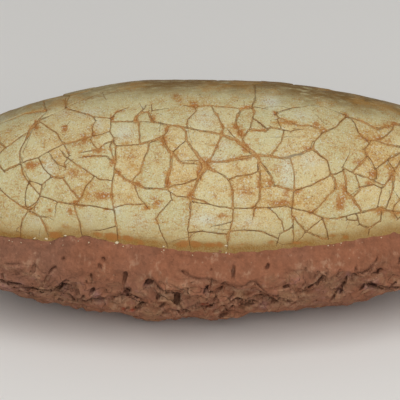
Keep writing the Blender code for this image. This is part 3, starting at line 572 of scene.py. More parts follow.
def mark_plates(bm, floors):
    """Numbers the plates: the faces that can be reached without crossing a crack."""
    plate = bm.faces.layers.int.new("plate")
    count = 0
    for face in bm.faces:
        if face[plate]:
            continue
        count += 1
        face[plate] = count
        waiting = [face]
        while waiting:
            for edge in waiting.pop().edges:
                if edge in floors:
                    continue
                for other in edge.link_faces:
                    if not other[plate]:
                        other[plate] = count
                        waiting.append(other)
    return count


def packed_cracks(bm):
    """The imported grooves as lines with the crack's half width, and the set of their floors' edges."""
    floors = set()
    lines = Lines()
    for edge in bm.edges:
        ends = [vert.co - WAIST for vert in edge.verts]
        depths = [depth_under_form(end) for end in ends]
        if edge.calc_face_angle_signed(0) > VALLEY or max(depths) < SHALLOW:
            continue
        floors.add(edge)
        halves = [max(HAIRLINE, depth / GROOVE_SLOPE - GROOVE_SPARE) for depth in depths]
        lines.draw(*ends, *halves, settle=onto_form)
    lines.close()
    return lines, floors


def plate_lifts(bm, count, rng, shift):
    """A gentle height and lean for every plate."""
    plate = bm.faces.layers.int["plate"]
    sums = [Vector() for _ in range(count + 1)]
    areas = [0.0] * (count + 1)
    for face in bm.faces:
        area = face.calc_area()
        sums[face[plate]] += face.calc_center_median() * area
        areas[face[plate]] += area
    plates = []
    for total, area in zip(sums, areas):
        middle = total / max(area, 1e-12)
        lean = Vector([rng.uniform(-1, 1) for _ in range(3)]) * LEAN
        plates.append((middle, rng.uniform(-1, 0.4) * shift, lean, rng.random()))
    return plates


def lift_at(local, own, plates, shift):
    """How far the plates that meet at a place stand out there, and their tone."""
    lift = tone = 0.0
    for number in own:
        middle, height, lean, shade = plates[number]
        lift += (height + (local - middle).dot(lean)) / len(own)
        tone += shade / len(own)
    return clamp(lift, -1.4 * shift, shift), tone


def relief_at(local, height):
    """Unevenness of the shell: broad swells and grain, and fine ridges along its length."""
    ridges = noise.noise(Vector((local.x / 0.007, local.y / 0.0013, local.z / 0.0013)))
    return height * (layered_noise(local, (0.011, 1), (0.0038, 0.5), (0.0011, 0.22)) + 0.28 * ridges)


def shoulder_at(local):
    """How far the crown stands out in a low shoulder towards the blunt end."""
    along = (local.x - SHOULDER_PLACE) / SHOULDER_REACH
    around = (turn_at(local) - SHOULDER_TURN) / SHOULDER_GIRTH
    return SHOULDER * math.exp(-along ** 2 - around ** 2)


def wander_at(local, normal):
    """How a crack strays along the surface, broadly and in little jags."""
    wander = Vector()
    for size, share in ((0.0024, 1.0), (0.0009, 0.45)):
        for axis in range(3):
            wander[axis] += share * noise.noise(local / size + Vector((7.0 * axis, 0, 0)))
    return wander - normal * wander.dot(normal)


def crown_at(place, turn):
    """How far the dull brown of the crown covers a place, partly real stain and partly painted shade: most
    behind the top, little before the waist.
    """
    angle = math.degrees(turn) + layered_noise(Vector(place), (0.012, 4), (0.004, 3))
    reach = 5 * soft_step(0.018, 0.032, place[0])
    front = 1 - soft_step(-18 + reach, 5 + reach, angle)
    back = soft_step(-90, -32, angle)
    blunt = 1 if angle < -40 else 0.65 + 0.35 * soft_step(-0.024, -0.017, place[0])
    tips = soft_step(0.090, 0.064, place[0]) * soft_step(-0.080, -0.060, place[0])
    return front * blunt * tips * (0.25 + 0.75 * back)


def packed_lip():
    """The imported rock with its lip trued, to measure distances from."""
    rock = merged_copy("matrix")
    true_lip(rock)
    lip = BVHTree.FromBMesh(rock)
    rock.free()
    return lip


def refine_shell(bm, cracks, settings):
    """Cuts the shell's faces small, most beside the cracks, and rounds it to its ideal form between them."""
    def longest(place):
        local = place - WAIST
        if local.z < BURIED:
            return settings.buried_face
        size = settings.crack_face if cracks.distance(onto_form(local)) < CRACK_BED else settings.face
        near = turn_at(local) > SHELL_BACK and within(SHELL_FRONT, local.x)
        return size if near and local.z > LIP_LEVEL else 2 * size

    split_long_edges(bm, longest, settings.crack_face)
    for vert in bm.verts:
        vert.co = onto_form(vert.co - WAIST)
    free = [vert for vert in bm.verts if cracks.distance(vert.co) > CRACK_HOLD]
    smooth(bm, free, 3)
    for vert in free:
        vert.co = onto_form(vert.co)


def make_shell(settings):
    """The eggshell: cracked plates a little out of line, with sunken sediment between them."""
    bm = merged_copy("egg")
    cracks, floors = packed_cracks(bm)
    hairs = drawn_lines(HAIRS, lambda *point: chart_to_form(*point)[2], onto_form)
    count = mark_plates(bm, floors)
    lip = packed_lip()
    refine_shell(bm, cracks, settings)
    rng = random.Random(SEED)
    plates = plate_lifts(bm, count, rng, settings.plate_shift)
    plate = bm.faces.layers.int["plate"]
    forms = np.array([tuple(vert.co) for vert in bm.verts])
    turns = np.arctan2(-forms[:, 1], forms[:, 2])
    values = {label: [] for label in ("crack", "half", "hair", "hair_away", "tone", "lip")}
    for vert in bm.verts:
        local = vert.co.copy()
        normal = form_normal(local)
        _, distance, width = cracks.measure(local, normal)
        side, hair_away, _ = hairs.measure(local, normal)
        lift, tone = lift_at(local, {face[plate] for face in vert.link_faces}, plates, settings.plate_shift)
        ragged = width * (1 + RAGGED * noise.noise(local / 0.0016))
        fill = 1 - soft_step(0.5, 1.35, distance / ragged)
        worn = math.exp(-max(0.0, distance - ragged) / WORN_EDGE)
        depth = settings.fill_depth * min(1.3, width / FULL_CRACK)
        depth *= 0.75 + 0.35 * noise.noise(local / 0.003)
        surface = relief_at(local, settings.relief) * (1 - 0.5 * fill) + shoulder_at(local)
        out = lift + surface - fill * depth - worn * WORN_DEPTH
        touch = lip.find_nearest(WAIST + local, 2 * LIP_FAR / 1000)[3] if local.z > LIP_LEVEL else 0.0
        vert.co = WAIST + local + normal * out + wander_at(local, normal) * settings.wander
        values["crack"].append(min(FAR, 1000 * distance))
        values["half"].append(1000 * ragged)
        values["hair"].append(clamp(1000 * side, -FAR, FAR))
        values["hair_away"].append(min(FAR, 1000 * hair_away))
        values["tone"].append(tone)
        values["lip"].append(LIP_FAR if touch is None else min(LIP_FAR, 1000 * touch))
    for label, rows, scattered, widest in SPOTS:
        values[label] = spot_values(forms, turns, chart_spots(rows) + far_spots(rng, scattered, widest))
    values["crown"] = [crown_at(place, turn) for place, turn in zip(forms, turns)]
    return finish_piece("eggshell", bm, values, shell_material(settings), "egg")


# --- Materials --------------------------------------------------------------------------------------------

class Value:
    """What a node of a material gives, to be reckoned with like a number."""

    def __init__(self, paint, socket):
        self.paint = paint
        self.socket = socket

    def __add__(self, other):
        return self.paint.maths("ADD", self, other)

    def __sub__(self, other):
        return self.paint.maths("SUBTRACT", self, other)

    def __rsub__(self, other):
        return self.paint.maths("SUBTRACT", other, self)

    def __mul__(self, other):
        return self.paint.maths("MULTIPLY", self, other)

    def __truediv__(self, other):
        return self.paint.maths("DIVIDE", self, other)

    def __abs__(self):
        return self.paint.maths("ABSOLUTE", self)

    __radd__ = __add__
    __rmul__ = __mul__


class Paint:
    """A material being put together, coat over coat."""

    def __init__(self, name, colour):
        self.material = bpy.data.materials.new(name)
        self.material.use_nodes = True
        self.tree = self.material.node_tree
        self.shader = self.tree.nodes["Principled BSDF"]
        self.places = self.add("TexCoord", "Object", {})
        self.colour = colour

    def connect(self, value, socket):
        """Sets a socket to a number, a colour or what another node gives."""
        if isinstance(value, Value):
            self.tree.links.new(value.socket, socket)
        elif isinstance(value, (int, float)):
            socket.default_value = value
        else:
            socket.default_value = (*value, 1)[:len(socket.default_value)]

    def add(self, kind, output, inputs, **options):
        """What a new node gives, with its inputs and options set."""
        node = self.tree.nodes.new("ShaderNode" + kind)
        for label, option in options.items():
            setattr(node, label, option)
        for label, value in inputs.items():
            self.connect(value, node.inputs[label])
        return Value(self, node.outputs[output])

    def attributes(self, *names):
        """Values stored at the mesh's vertices."""
        return [self.add("Attribute", "Fac", {}, attribute_name=name) for name in names]

    def mapped(self, size, stretch, seed):
        """Places measured in a size, longer along an axis that is stretched."""
        scale = [1 / (size * pull) for pull in stretch]
        shift = (seed, seed * 0.7, seed * 0.3)
        return self.add("Mapping", "Vector", {"Vector": self.places, "Location": shift, "Scale": scale})

    def noise(self, size, detail=3.0, rough=0.55, stretch=(1, 1, 1), seed=0.0):
        """Noise whose features have a size in metres."""
        places = self.mapped(size, stretch, seed)
        inputs = {"Vector": places, "Scale": 1, "Detail": detail, "Roughness": rough}
        return self.add("TexNoise", "Fac", inputs)

    def dots(self, size, seed):
        """Distance to the nearest of scattered points."""
        return self.add("TexVoronoi", "Distance", {"Vector": self.mapped(size, (1, 1, 1), seed), "Scale": 1})

    def maths(self, operation, *values):
        """A sum, product or the like."""
        return self.add("Math", "Value", dict(enumerate(values)), operation=operation)

    def step(self, value, low, high, top=1.0):
        """0 where the value is below low, top above high, smooth between; low may be the higher."""
        bounds = {"From Min": low, "From Max": high, "To Min": 0.0, "To Max": top}
        return self.add("MapRange", "Result", {"Value": value, **bounds}, interpolation_type="SMOOTHSTEP")

    def mix(self, share, first, second):
        """Colour between two, by a share."""
        return self.add("Mix", 2, {0: share, 6: first, 7: second}, data_type="RGBA", clamp_factor=True)

    def coat(self, colour, share):
        """Lays a colour over the coats so far, by a share."""
        self.colour = self.mix(share, self.colour, colour)

    def shade(self, amount):
        """Makes the coats so far darker or lighter by a factor near 1."""
        self.colour = self.add("VectorMath", "Vector", {0: self.colour, "Scale": amount}, operation="SCALE")

    def finish(self, roughness, specular=0.5, relief=()):
        """Hands over the material; each layer of fine relief is a height and its size in metres."""
        found = {"Base Color": self.colour, "Roughness": roughness, "Specular IOR Level": specular}
        below = {}
        for height, size in relief:
            layer = {"Strength": 1, "Distance": size, "Height": height, **below}
            below = {"Normal": self.add("Bump", "Normal", layer)}
        for label, value in {**found, **below}.items():
            self.connect(value, self.shader.inputs[label])
        return self.material


def shell_material(settings):
    """Cream, speckled calcite with orange stains, a brown crown that is partly stain and partly painted
    shade, painted shade towards the rock, and orange-brown sediment in its cracks.
    """
    paint = Paint("eggshell_calcite", settings.cream)
    broad = paint.noise(0.009, 4, 0.6)
    patch = paint.noise(0.0032, 4, 0.6, seed=3.1)
    streak = paint.noise(0.0014, 4, 0.65, stretch=(3.2, 1, 1), seed=5.3)
    speck = paint.noise(0.00060, 3, 0.75, seed=8.9)
    speckle = paint.noise(0.00042, 2, 0.7, seed=15.1)
    fine = paint.noise(0.00028, 2, 0.6, seed=1.7)
    tone, warmth, bleach, stain, rim, grey = paint.attributes("tone", "warm", "pale", "stain", "rim", "grey")
    crack, half, hair, hair_away = paint.attributes("crack", "half", "hair", "hair_away")
    crown, cover, lip = paint.attributes("crown", "cover", "lip")
    # the shell itself
    paint.coat(settings.warm, 0.85 * warmth + paint.step(broad, 0.4, 0.68, 0.45) + 0.5 * (tone - 0.5))
    paint.coat(settings.cool, paint.step(tone, 0.55, 0.2, 0.35) + paint.step(patch, 0.42, 0.62, 0.25))
    paint.coat(settings.pale, bleach * paint.step(patch, 0.22, 0.52))
    # light ochre streaks along the shell, and specks, thickest in the warm zones
    dirt = 0.05 * warmth + 0.18 * stain + 0.30 * (broad - 0.5) + 0.22 * (patch - 0.5)
    paint.coat(settings.ochre, paint.step(streak + dirt, 0.54, 0.74, 0.75))
    paint.coat(settings.ochre, paint.step(speckle + dirt, 0.52, 0.62, 0.62))
    paint.coat(settings.orange, paint.step(speck + dirt, 0.585, 0.66, 0.7))
    paint.coat(settings.ochre, paint.step(crack, 0.9, 0.1) * paint.step(patch + dirt, 0.46, 0.66, 0.45))
    smear = 0.9 * streak + 0.4 * patch
    paint.coat(settings.orange, paint.step(0.85 * stain + smear, 0.84, 1.45, 0.9))
    pocks = paint.step(paint.dots(0.0019, seed=2.0), 0.14, 0.07, 0.8)
    paint.coat(settings.brown, pocks * paint.step(patch, 0.44, 0.56))
    paint.coat(settings.pale, paint.step(paint.noise(0.0006, 2, 0.6, seed=12.3), 0.57, 0.66, 0.6))
    # dull crown, partly real stain and partly painted shade, then the band of sediment along the lip
    dull = crown * paint.step(0.5 * patch + 0.9 * streak, 0.36, 0.74) * (1.0 - 0.8 * bleach)
    rusty = paint.step(0.7 * broad + 0.3 * streak, 0.48, 0.60, 0.55)
    paint.coat(paint.mix(rusty, settings.crown, settings.ochre), dull)
    # painted shade, partly real stain: the shell grows darker and warmer towards the rock
    low = lip + 5.0 * (patch - 0.5)
    paint.coat(settings.warm, paint.step(low, 10.0, 1.0, 0.55))
    paint.shade(1.0 - 0.14 * paint.step(low, 10.0, 1.5))
    band = (paint.step(low, 4.2, 0.6, 0.85) + 0.7 * rim) * paint.step(lip, 7.0, 2.5)
    paint.coat(settings.lip, band * (paint.step(speckle, 0.62, 0.42, 0.4) + 0.6))
    paint.coat(settings.orange, paint.step(0.9 * rim + 1.5 * smear + 0.5 * speckle, 1.55, 1.95, 0.85))
    paint.shade(0.5 * fine + 0.75)
    # hair cracks
    jag = 0.30 * (speck - 0.5)
    thread = paint.step(abs(hair + jag), 0.13, 0.03, 0.75)
    paint.coat(settings.brown, thread * paint.step(hair_away, 0.6, 0.3))
    # sediment in the cracks: brown seams, with paler grains between them where the crack is wide
    share = (crack + jag) / half
    inside = paint.step(share, 1.15, 0.6) * (1.0 - paint.maths("MAXIMUM", 0.6 * crown, cover))
    rust = paint.step(half, 0.13, 0.30) * paint.step(patch + dirt, 0.32, 0.52)
    filling = paint.mix(rust, settings.brown, settings.orange)
    wide = paint.step(half, 0.14, 0.26) * paint.step(share, 0.75, 0.25)
    filling = paint.mix(0.75 * wide * paint.step(speckle, 0.42, 0.62), filling, settings.warm)
    seams = paint.step(half, 0.12, 0.22) * paint.step(share, 0.5, 0.85)
    filling = paint.mix(seams * paint.step(patch, 0.62, 0.44, 0.85), filling, settings.brown)
    paint.coat(paint.mix(grey, filling, settings.grey), 0.85 * inside)
    pits = paint.step(paint.noise(0.0006, 2, 0.5, seed=21.0), 0.62, 0.74)
    return paint.finish(paint.step(speck, 0.3, 0.7, 0.14) + 0.5 + 0.25 * inside, 0.3,
                        ((fine, 0.00008), (speck, 0.00016), (pits, -0.00010)))


# --- The rock ---------------------------------------------------------------------------------------------

SMOOTH_BAND = 0.0075        # the rock is hardly worked this far under its lip
SKIN = 0.0014               # the rock's outside lies at least this far outside the ideal shell
WORKED_SKIN = 0.0022        # and its chiselled outside this far
CAVITY_SKIN = 0.0016        # its cavity lies nearer than this to the ideal shell
CAVITY_TOP = -0.004         # and lower than this under the waist
LIP_FOOT = -0.0028          # the lip lies above this
LIP_SKIN = 0.0006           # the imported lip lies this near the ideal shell
LIP_WALL = 0.0005           # and has a face whose middle is further out than this
LIP_BITE = 0.0006           # how far the lip reaches into the shell's surface
GROUND = 0.0012             # nearer the ground than this, the rock keeps its packed form
FLAT = 0.0005               # lower than this the faces are large
RESTING = 0.0003            # lower than this it is the flat that the rock rests on
ROCK_FRONT = (-0.062, 0.066)    # ends of the finely cut front, along the axis from the waist
UNDRAWN = (-0.06, 0.063)    # beyond these the front has scattered marks
TERRACE_LENGTH = 0.021      # sizes of the chipped terraces, and how far they sway
TERRACE_BREADTH = 0.013
TERRACE_SWAY = 0.0022
WIDE_SCOOP = 0.0095         # sizes of the chisel's scoops
SMALL_SCOOP = 0.0048
NOTCH_HALF = 0.00085        # half width of a common chisel notch
LEDGE_HALF = 0.00065        # half width of the crevice along a ledge
SHELF = 0.0022              # breadth of a ledge's shelf
LEDGE_JUMP = 0.012          # a ledge's points further apart than this lie on different faces of the rock
HIDDEN = 0.02               # added to the distance of a ledge that faces away
MARK_REACH = 0.0014         # the faces are fine this near a mark
CHART_FADE = 45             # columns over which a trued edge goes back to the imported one
OUTLINE_REACH = 0.010       # height over the ground within which the outline is trued
LOOSE_CRUMBS = 120
CRUMB = 0.00042             # size of the crumbs on the chart

# Chisel notches on the chart: start, end, width at each and depth over the common ones
NOTCHES = (
    ((53.2, 267), (46.5, 276), 0.8, 0.7, 1.0), ((46.5, 276), (41.3, 286.5), 0.6, 0.3, 0.8),
    ((34, 262), (33.4, 269.5), 0.5, 0.7, 0.5), ((33.4, 269.5), (27.5, 276.5), 0.8, 0.5, 0.6),
    ((61.5, 257.5), (63.5, 260), 0.8, 0.7, 0.6), ((102.3, 257.5), (104.3, 261), 0.6, 0.5, 0.7),
    ((99.8, 264), (98.8, 270.5), 0.9, 0.9, 0.7), ((90.3, 274.5), (90.6, 284), 0.4, 0.3, 0.7),
    ((84.6, 281.8), (86.4, 281.4), 0.6, 0.6, 0.7), ((93, 288.5), (88.5, 294.5), 0.9, 0.5, 1.1),
    ((124.6, 274.5), (122, 287), 0.8, 0.5, 0.8), ((127.5, 288.3), (123, 294.5), 1.0, 0.8, 1.3),
    ((122.5, 294.5), (120, 304), 0.3, 0.2, 0.6), ((46, 291), (40, 292), 0.4, 0.5, 1.1),
    ((17.2, 292), (18.4, 292.4), 0.6, 0.6, 0.8), ((29, 291.5), (24, 292.5), 0.7, 0.9, 0.6),
    ((83, 295.5), (79.5, 299), 0.5, 0.4, 1.2), ((71.3, 305), (67.3, 307.3), 0.4, 0.3, 0.7),
    ((39.5, 300), (36, 303.5), 0.4, 0.3, 0.4), ((126.8, 308.2), (121.4, 311), 0.4, 0.3, 1.0),
    ((1, 274), (2, 279), 0.8, 0.7, 0.6), ((148.5, 281.5), (143.5, 287.5), 1.2, 0.9, 1.1),
    ((158.8, 294.3), (154.8, 303.2), 0.7, 0.5, 0.9), ((176.5, 292.7), (174.3, 306.8), 0.8, 0.9, 1.2),
    ((142, 303.5), (133, 310.5), 0.9, 0.9, 1.5), ((163.4, 303.8), (155.2, 310), 0.5, 0.7, 1.2),
    ((186.3, 288), (187.4, 297), 0.4, 0.4, 0.6), ((206, 286.8), (203.3, 295), 0.9, 0.8, 1.3),
    ((210.6, 280.5), (209.7, 292.3), 0.3, 0.3, 0.7), ((209.5, 292.5), (214.3, 292.5), 0.3, 0.2, 0.7),
    ((223.4, 282.8), (216, 291.8), 0.8, 0.6, 1.2), ((216, 291.8), (210.5, 307), 0.4, 0.3, 0.6),
    ((233, 265.5), (231.5, 279.5), 0.6, 0.7, 0.8), ((210, 269.5), (211.6, 269.5), 0.7, 0.7, 0.5),
    ((181.6, 270.8), (187, 275), 0.4, 0.3, 0.6), ((232.5, 294.2), (226.6, 299.6), 0.8, 0.5, 1.2),
    ((254.3, 286.4), (247.3, 289.6), 0.6, 0.5, 1.0), ((262, 303), (257.5, 305), 0.8, 0.6, 0.7),
    ((217, 310.5), (211, 313.5), 0.6, 0.4, 0.9), ((267.3, 263.8), (264.2, 269.5), 0.7, 0.6, 0.9),
    ((286.8, 285.3), (281.8, 287.3), 0.6, 0.5, 1.1), ((305.3, 266.8), (303.7, 270), 0.3, 0.4, 0.6),
    ((318.5, 271.4), (315, 273.8), 0.4, 0.5, 0.9), ((315, 273.8), (313.9, 279.5), 0.4, 0.3, 0.7),
    ((340, 269.8), (335.4, 276), 0.7, 0.4, 0.8), ((347.3, 275.5), (342.8, 283), 0.6, 0.6, 1.1),
    ((342.8, 283), (338.4, 288.3), 0.5, 0.6, 1.2), ((339, 288), (340, 295), 0.8, 0.8, 0.9),
    ((338.4, 288.3), (333.8, 294.5), 0.4, 0.4, 0.9), ((333.8, 294.5), (328.6, 303.8), 0.4, 0.3, 0.8),
    ((355.8, 266.3), (355, 272.3), 0.7, 0.7, 0.8), ((376.8, 257.4), (373.4, 266.2), 0.4, 0.4, 0.9),
    ((380, 270.3), (371.8, 276), 0.9, 0.8, 1.1), ((369.4, 280.9), (361.6, 286.6), 0.4, 0.5, 1.2),
    ((361.6, 286.6), (357, 291.6), 0.4, 0.3, 0.9), ((394.9, 281.8), (389.5, 286.6), 0.4, 0.4, 0.9),
    ((315.4, 300.5), (309, 304.6), 0.4, 0.3, 1.0), ((399.5, 258), (399, 266), 0.5, 0.5, 0.8),
)
# Wandering ledges on the chart, each a line of points
LEDGES = (
    ((0, 281.4), (9, 283.6), (18.2, 285), (23.6, 287.7), (31, 289), (40, 291.6), (45.5, 291), (51.8, 289.5),
     (58.2, 286.4), (64.5, 281.8)),
    ((58.2, 299.5), (62.7, 294.7), (67.7, 295.5), (72.7, 299.5), (79, 301), (85.5, 302.3), (91, 299.5),
     (95.5, 299.8), (101.8, 299)),
    ((73.6, 258.2), (83, 259), (94, 258.2), (104.5, 258.6)), ((7, 264), (16, 264)),
    ((111, 298), (117, 297.5), (121, 295.5)), ((128, 295), (136, 298), (144, 301.5)),
    ((151.5, 279), (154.3, 283.6), (158.4, 289), (162, 292.3), (168.4, 291.8), (174.7, 292), (181, 291)),
    ((163.4, 312.7), (168.4, 310.5), (174.7, 311.8), (181, 311.8), (185.6, 309.5), (191, 307.7),
     (196.5, 304.5), (201, 304.5), (208.4, 305)),
    ((168.7, 264), (171, 262), (174, 264), (180, 264.5), (186, 264.5)),
    ((180, 270.5), (183.5, 271), (187, 274.5), (192, 277.5), (199, 279.5), (207, 279), (213, 281)),
    ((227.5, 285), (235.6, 287.3), (243.8, 287.3), (246.5, 283.6), (250.2, 281.4), (254.7, 281.8),
     (259.3, 288.2), (263, 291.8)),
    ((232.5, 301), (236, 299), (240.5, 300)),
    ((263, 294.5), (258.4, 296.8), (253.8, 300.5), (247.5, 303.6), (240, 305)),
    ((230, 309), (224.7, 312.7), (219.3, 317.7)),
    ((325.8, 274), (322.2, 276.4), (320, 281), (318.5, 284), (313, 287.7), (305.8, 290)),
    ((353.5, 274.5), (360.4, 272.7), (366.7, 270.5), (369, 267.3), (371.7, 263.6)),
    ((368.5, 283.6), (375.8, 285.5), (382.2, 288.2), (391.3, 288.2), (400, 288.6)),
    ((273, 301.8), (277.6, 299.5), (282.2, 300), (288.5, 302.3), (294, 303.6), (300.4, 300)),
    ((264, 296.4), (269.5, 297.3), (274, 297.3), (278.5, 299.5)),
)
# Patches of the rock on the chart: column, row, reach
LILACS = (
    (62, 286, 4), (94, 293, 4), (98, 301, 4), (18, 286, 5), (26, 292, 4), (5, 289, 6), (338.5, 291, 3),
    (365, 287, 3), (373, 285, 5), (205, 291, 3), (145, 285, 3), (262, 305, 4), (347, 274, 3),
)
RUSTS = ((202, 305, 2.2), (207, 304.7, 2.2), (122, 309.8, 2), (131, 309.8, 2))
TANS = (
    (54, 292.5, 5), (150, 315, 9), (167, 299, 6), (239, 292, 5), (284, 294.5, 5), (306.7, 301, 5),
    (327, 282, 6),
)
# Crumbs on the lip, on the chart
CRUMBS = (
    (46.4, 238.7), (34.5, 238), (65.3, 235.5), (116.4, 242.5), (163, 246.3), (225.3, 245.6), (225.5, 252.6),
    (219.8, 250.8),
)
# Lower edge of the rock on the chart
OUTLINE = (
    (0, 296.5), (8, 298), (17, 300), (24, 302), (37, 305.5), (47, 305.5), (53, 302.5), (57.5, 299.5),
    (60, 303.5), (67, 308), (75, 311.5), (84, 311), (94, 309), (101, 308.5), (109, 309.5), (117, 311.5),
    (125, 315.5), (130, 318), (135, 320), (142, 321.5), (154, 322), (167, 321.5), (178, 320), (187, 318),
    (193, 317.5), (200, 320), (212, 321.5), (220, 321), (231, 317.5), (239, 314), (250, 311.5), (255, 312),
    (260, 314), (267, 312.5), (284, 311), (297, 312), (304, 307), (313, 307.5), (322, 308), (338, 305.5),
    (347, 301), (359, 299), (366, 296), (376, 292.5), (385, 291), (390, 291), (395, 293), (400, 294),
)
# Lip of the rock against the shell on the chart
LIP_EDGE = (
    (0, 237), (20, 239), (30, 240.5), (43, 241.5), (52, 241), (60, 240), (64, 237.5), (68, 236),
    (75, 235.8), (86, 236.5), (93, 238), (100, 240), (107, 242.5), (114, 243.8), (130, 245), (150, 246.3),
    (165, 248), (180, 249.8), (200, 251.5), (215, 252.2), (232, 252.3), (250, 251.5), (262, 249.8),
    (280, 248), (292, 247), (307, 245), (322, 243.4), (335, 242), (348, 239.5), (362, 236.8), (380, 233.3),
    (400, 230),
)


class Mark:
    """One stroke of the chisel: its ends on the rock, the half width at each, and its depth."""

    def __init__(self, start, end, normal, halves, depth):
        self.start = start
        self.run = end - start
        self.side = self.run.cross(normal).normalized()
        self.normal = normal
        self.halves = halves
        self.depth = depth

    def cut_at(self, place):
        """Depth of the cut at a place, and how strong the painted highlight on its lower rim is there."""
        offset = place - self.start
        share = offset.dot(self.run) / self.run.length_squared
        half = self.halves[0] + clamp(share, 0.0, 1.0) * (self.halves[1] - self.halves[0])
        across = (offset - self.run * share).dot(self.side) / half
        if not -0.6 < share < 1.4 or abs(across) > 2.5:
            return 0.0, 0.0
        across += 0.45 * noise.noise(place / 0.0012)
        share += 0.22 * noise.noise(place / 0.0014 + Vector((4, 4, 4)))
        along = soft_step(-0.2, 0.12, share) * soft_step(1.2, 0.5, share)
        wall = 1 - soft_step(0.45, 1.0, across) if across > 0 else 1 - soft_step(0.1, 1.3, -across)
        # rim: the painted highlight along the lower rim of the notch
        rim = math.exp(-((across + 1.2) / 0.5) ** 2)
        rim *= soft_step(-0.1, 0.2, share) * soft_step(1.3, 0.8, share)
        return self.depth * along * wall * half / max(self.halves), rim


def drawn_marks(settings):
    """The notches of the chart, in the chart's plane."""
    marks = []
    for start, end, width, last_width, depth in NOTCHES:
        halves = (width * NOTCH_HALF, last_width * NOTCH_HALF)
        marks.append(Mark(chart_point(*start), chart_point(*end), VIEW_BACK, halves, depth * settings.notch))
    return marks


def is_worked(point):
    """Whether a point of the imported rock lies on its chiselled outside, clear of the flat it rests on."""
    local = point - WAIST
    return depth_under_form(local) < -WORKED_SKIN and local.z < -SMOOTH_BAND and point.z > GROUND


def scattered_marks(bm, rng, settings):
    """Notches over the sides that the chart leaves out, slanted like the drawn ones."""
    faces = [face for face in bm.faces if is_worked(face.calc_center_median())]
    weights = [face.calc_area() for face in faces]
    marks = []
    while len(marks) < settings.marks:
        face = rng.choices(faces, weights)[0]
        middle = face.calc_center_median()
        if (middle - WAIST).y < -0.004 and within(UNDRAWN, (middle - WAIST).x):
            continue
        normal = face.normal.copy()
        level = Vector((0, 0, 1)).cross(normal).normalized()
        slant = rng.uniform(-0.5, 1.3)
        run = (normal.cross(level) * math.cos(slant) + level * math.sin(slant)) * rng.uniform(0.0011, 0.0034)
        width = rng.uniform(0.75, 1.45)
        halves = (0.78 * width * NOTCH_HALF, 0.45 * width * NOTCH_HALF)
        marks.append(Mark(middle + run, middle - run, normal, halves, 0.8 * width * settings.notch))
    return marks


def lines_on_rock(surface, rows):
    """Lines of the chart as they run over the rock."""
    lines = Lines()
    for points in rows:
        places = [cast(surface, *point)[0] for point in points]
        for start, end in zip(places, places[1:]):
            if start and end and (end - start).length < LEDGE_JUMP:
                lines.draw(start, end)
    return lines


def terrace_at(local):
    """Chipped terraces: gentle slopes that end in a sharp little drop, and how near that drop is."""
    sway = Vector((noise.noise(local / 0.006), noise.noise(local / 0.006 + Vector((3, 3, 3))), 0))
    bent = local + sway * TERRACE_SWAY
    stretched = Vector((bent.x / TERRACE_LENGTH, bent.y / TERRACE_BREADTH, bent.z / TERRACE_BREADTH))
    rise = 3.1 * noise.noise(stretched + Vector((5.5, 1.5, 2.5))) + 0.3 * noise.noise(bent / 0.0052)
    share = rise - math.floor(rise)
    drop = soft_step(0.80, 1.0, share)
    return drop - share, 4 * drop * (1 - drop)


def scoop_at(local):
    """Broad shallow scoops that meet in ridges, as a chisel leaves them."""
    slanted = Vector((local.x + 0.5 * local.z, local.y, 0.8 * local.z - 0.35 * local.x))
    wide = noise.voronoi(slanted / WIDE_SCOOP)[0][0]
    small = noise.voronoi(slanted / SMALL_SCOOP + Vector((2, 2, 2)))[0][0]
    return min(1.0, wide) ** 2 + 0.35 * min(1.0, small) ** 2 - 0.45


def outline_row(column):
    """Row of the rock's lower edge on the chart."""
    for (left, row), (right, next_row) in zip(OUTLINE, OUTLINE[1:]):
        if left <= column <= right:
            return row + (next_row - row) * (column - left) / (right - left)
    return None


def off_outline(local):
    """0 at the rock's lower edge on the chart, 1 well above it."""
    column, row = chart_from(local)
    lowest = outline_row(column)
    return 1.0 if lowest is None else soft_step(1, 8, lowest - row)


def on_chart(column):
    """1 within the chart's columns, fading to 0 a little outside them."""
    last = 2 * CHART_MIDDLE
    return soft_step(-CHART_FADE, 0, column) * soft_step(last + CHART_FADE, last, column)


def on_front_lip(vert):
    """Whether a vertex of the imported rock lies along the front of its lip."""
    local = vert.co - WAIST
    if abs(depth_under_form(local)) > LIP_SKIN or local.y > -0.008 or local.z < -0.006:
        return False
    return min(depth_under_form(face.calc_center_median() - WAIST) for face in vert.link_faces) < -LIP_WALL


def true_lip(bm):
    """Raises or lowers the front of the rock's lip until it follows the chart's."""
    points = sorted(chart_from(vert.co - WAIST) for vert in bm.verts if on_front_lip(vert))
    columns = [column for column, _ in points]
    lacks = [(row - np.interp(column, *zip(*LIP_EDGE))) * on_chart(column) for column, row in points]
    for vert in bm.verts:
        local = vert.co - WAIST
        lack = np.interp(chart_from(local)[0], columns, lacks)
        share = soft_step(-0.011, -0.0035, local.z) * soft_step(-0.004, -0.012, local.y)
        vert.co.z += float(lack) * CHART_UNIT / math.cos(CHART_TILT) * share


def true_outline(bm):
    """Shifts the foot of the front until the rock's lower edge follows the chart's."""
    lowest = {}
    for vert in bm.verts:
        column, row = chart_from(vert.co - WAIST)
        for key in range(round(column / 2) - 1, round(column / 2) + 2):
            lowest[key] = max(lowest.get(key, 0), row)
    aims = {key: outline_row(2 * key) for key in lowest}
    lacks = {key: aims[key] - row for key, row in lowest.items() if aims[key] is not None}
    near = range(-2, 3)
    lacks = {key: sum(lacks.get(key + step, lack) for step in near) / len(near)
             for key, lack in lacks.items()}
    for vert in bm.verts:
        column = chart_from(vert.co - WAIST)[0] / 2
        left = math.floor(column)
        lack = lacks.get(left, 0) + (column - left) * (lacks.get(left + 1, 0) - lacks.get(left, 0))
        height = 1 - soft_step(0.3 * OUTLINE_REACH, OUTLINE_REACH, vert.co.z)
        front = soft_step(-0.006, -0.016, vert.co.y)
        outside = 1 if depth_under_form(vert.co - WAIST) < -SKIN else 0
        vert.co.y -= lack * CHART_UNIT / math.sin(CHART_TILT) * height * front * outside


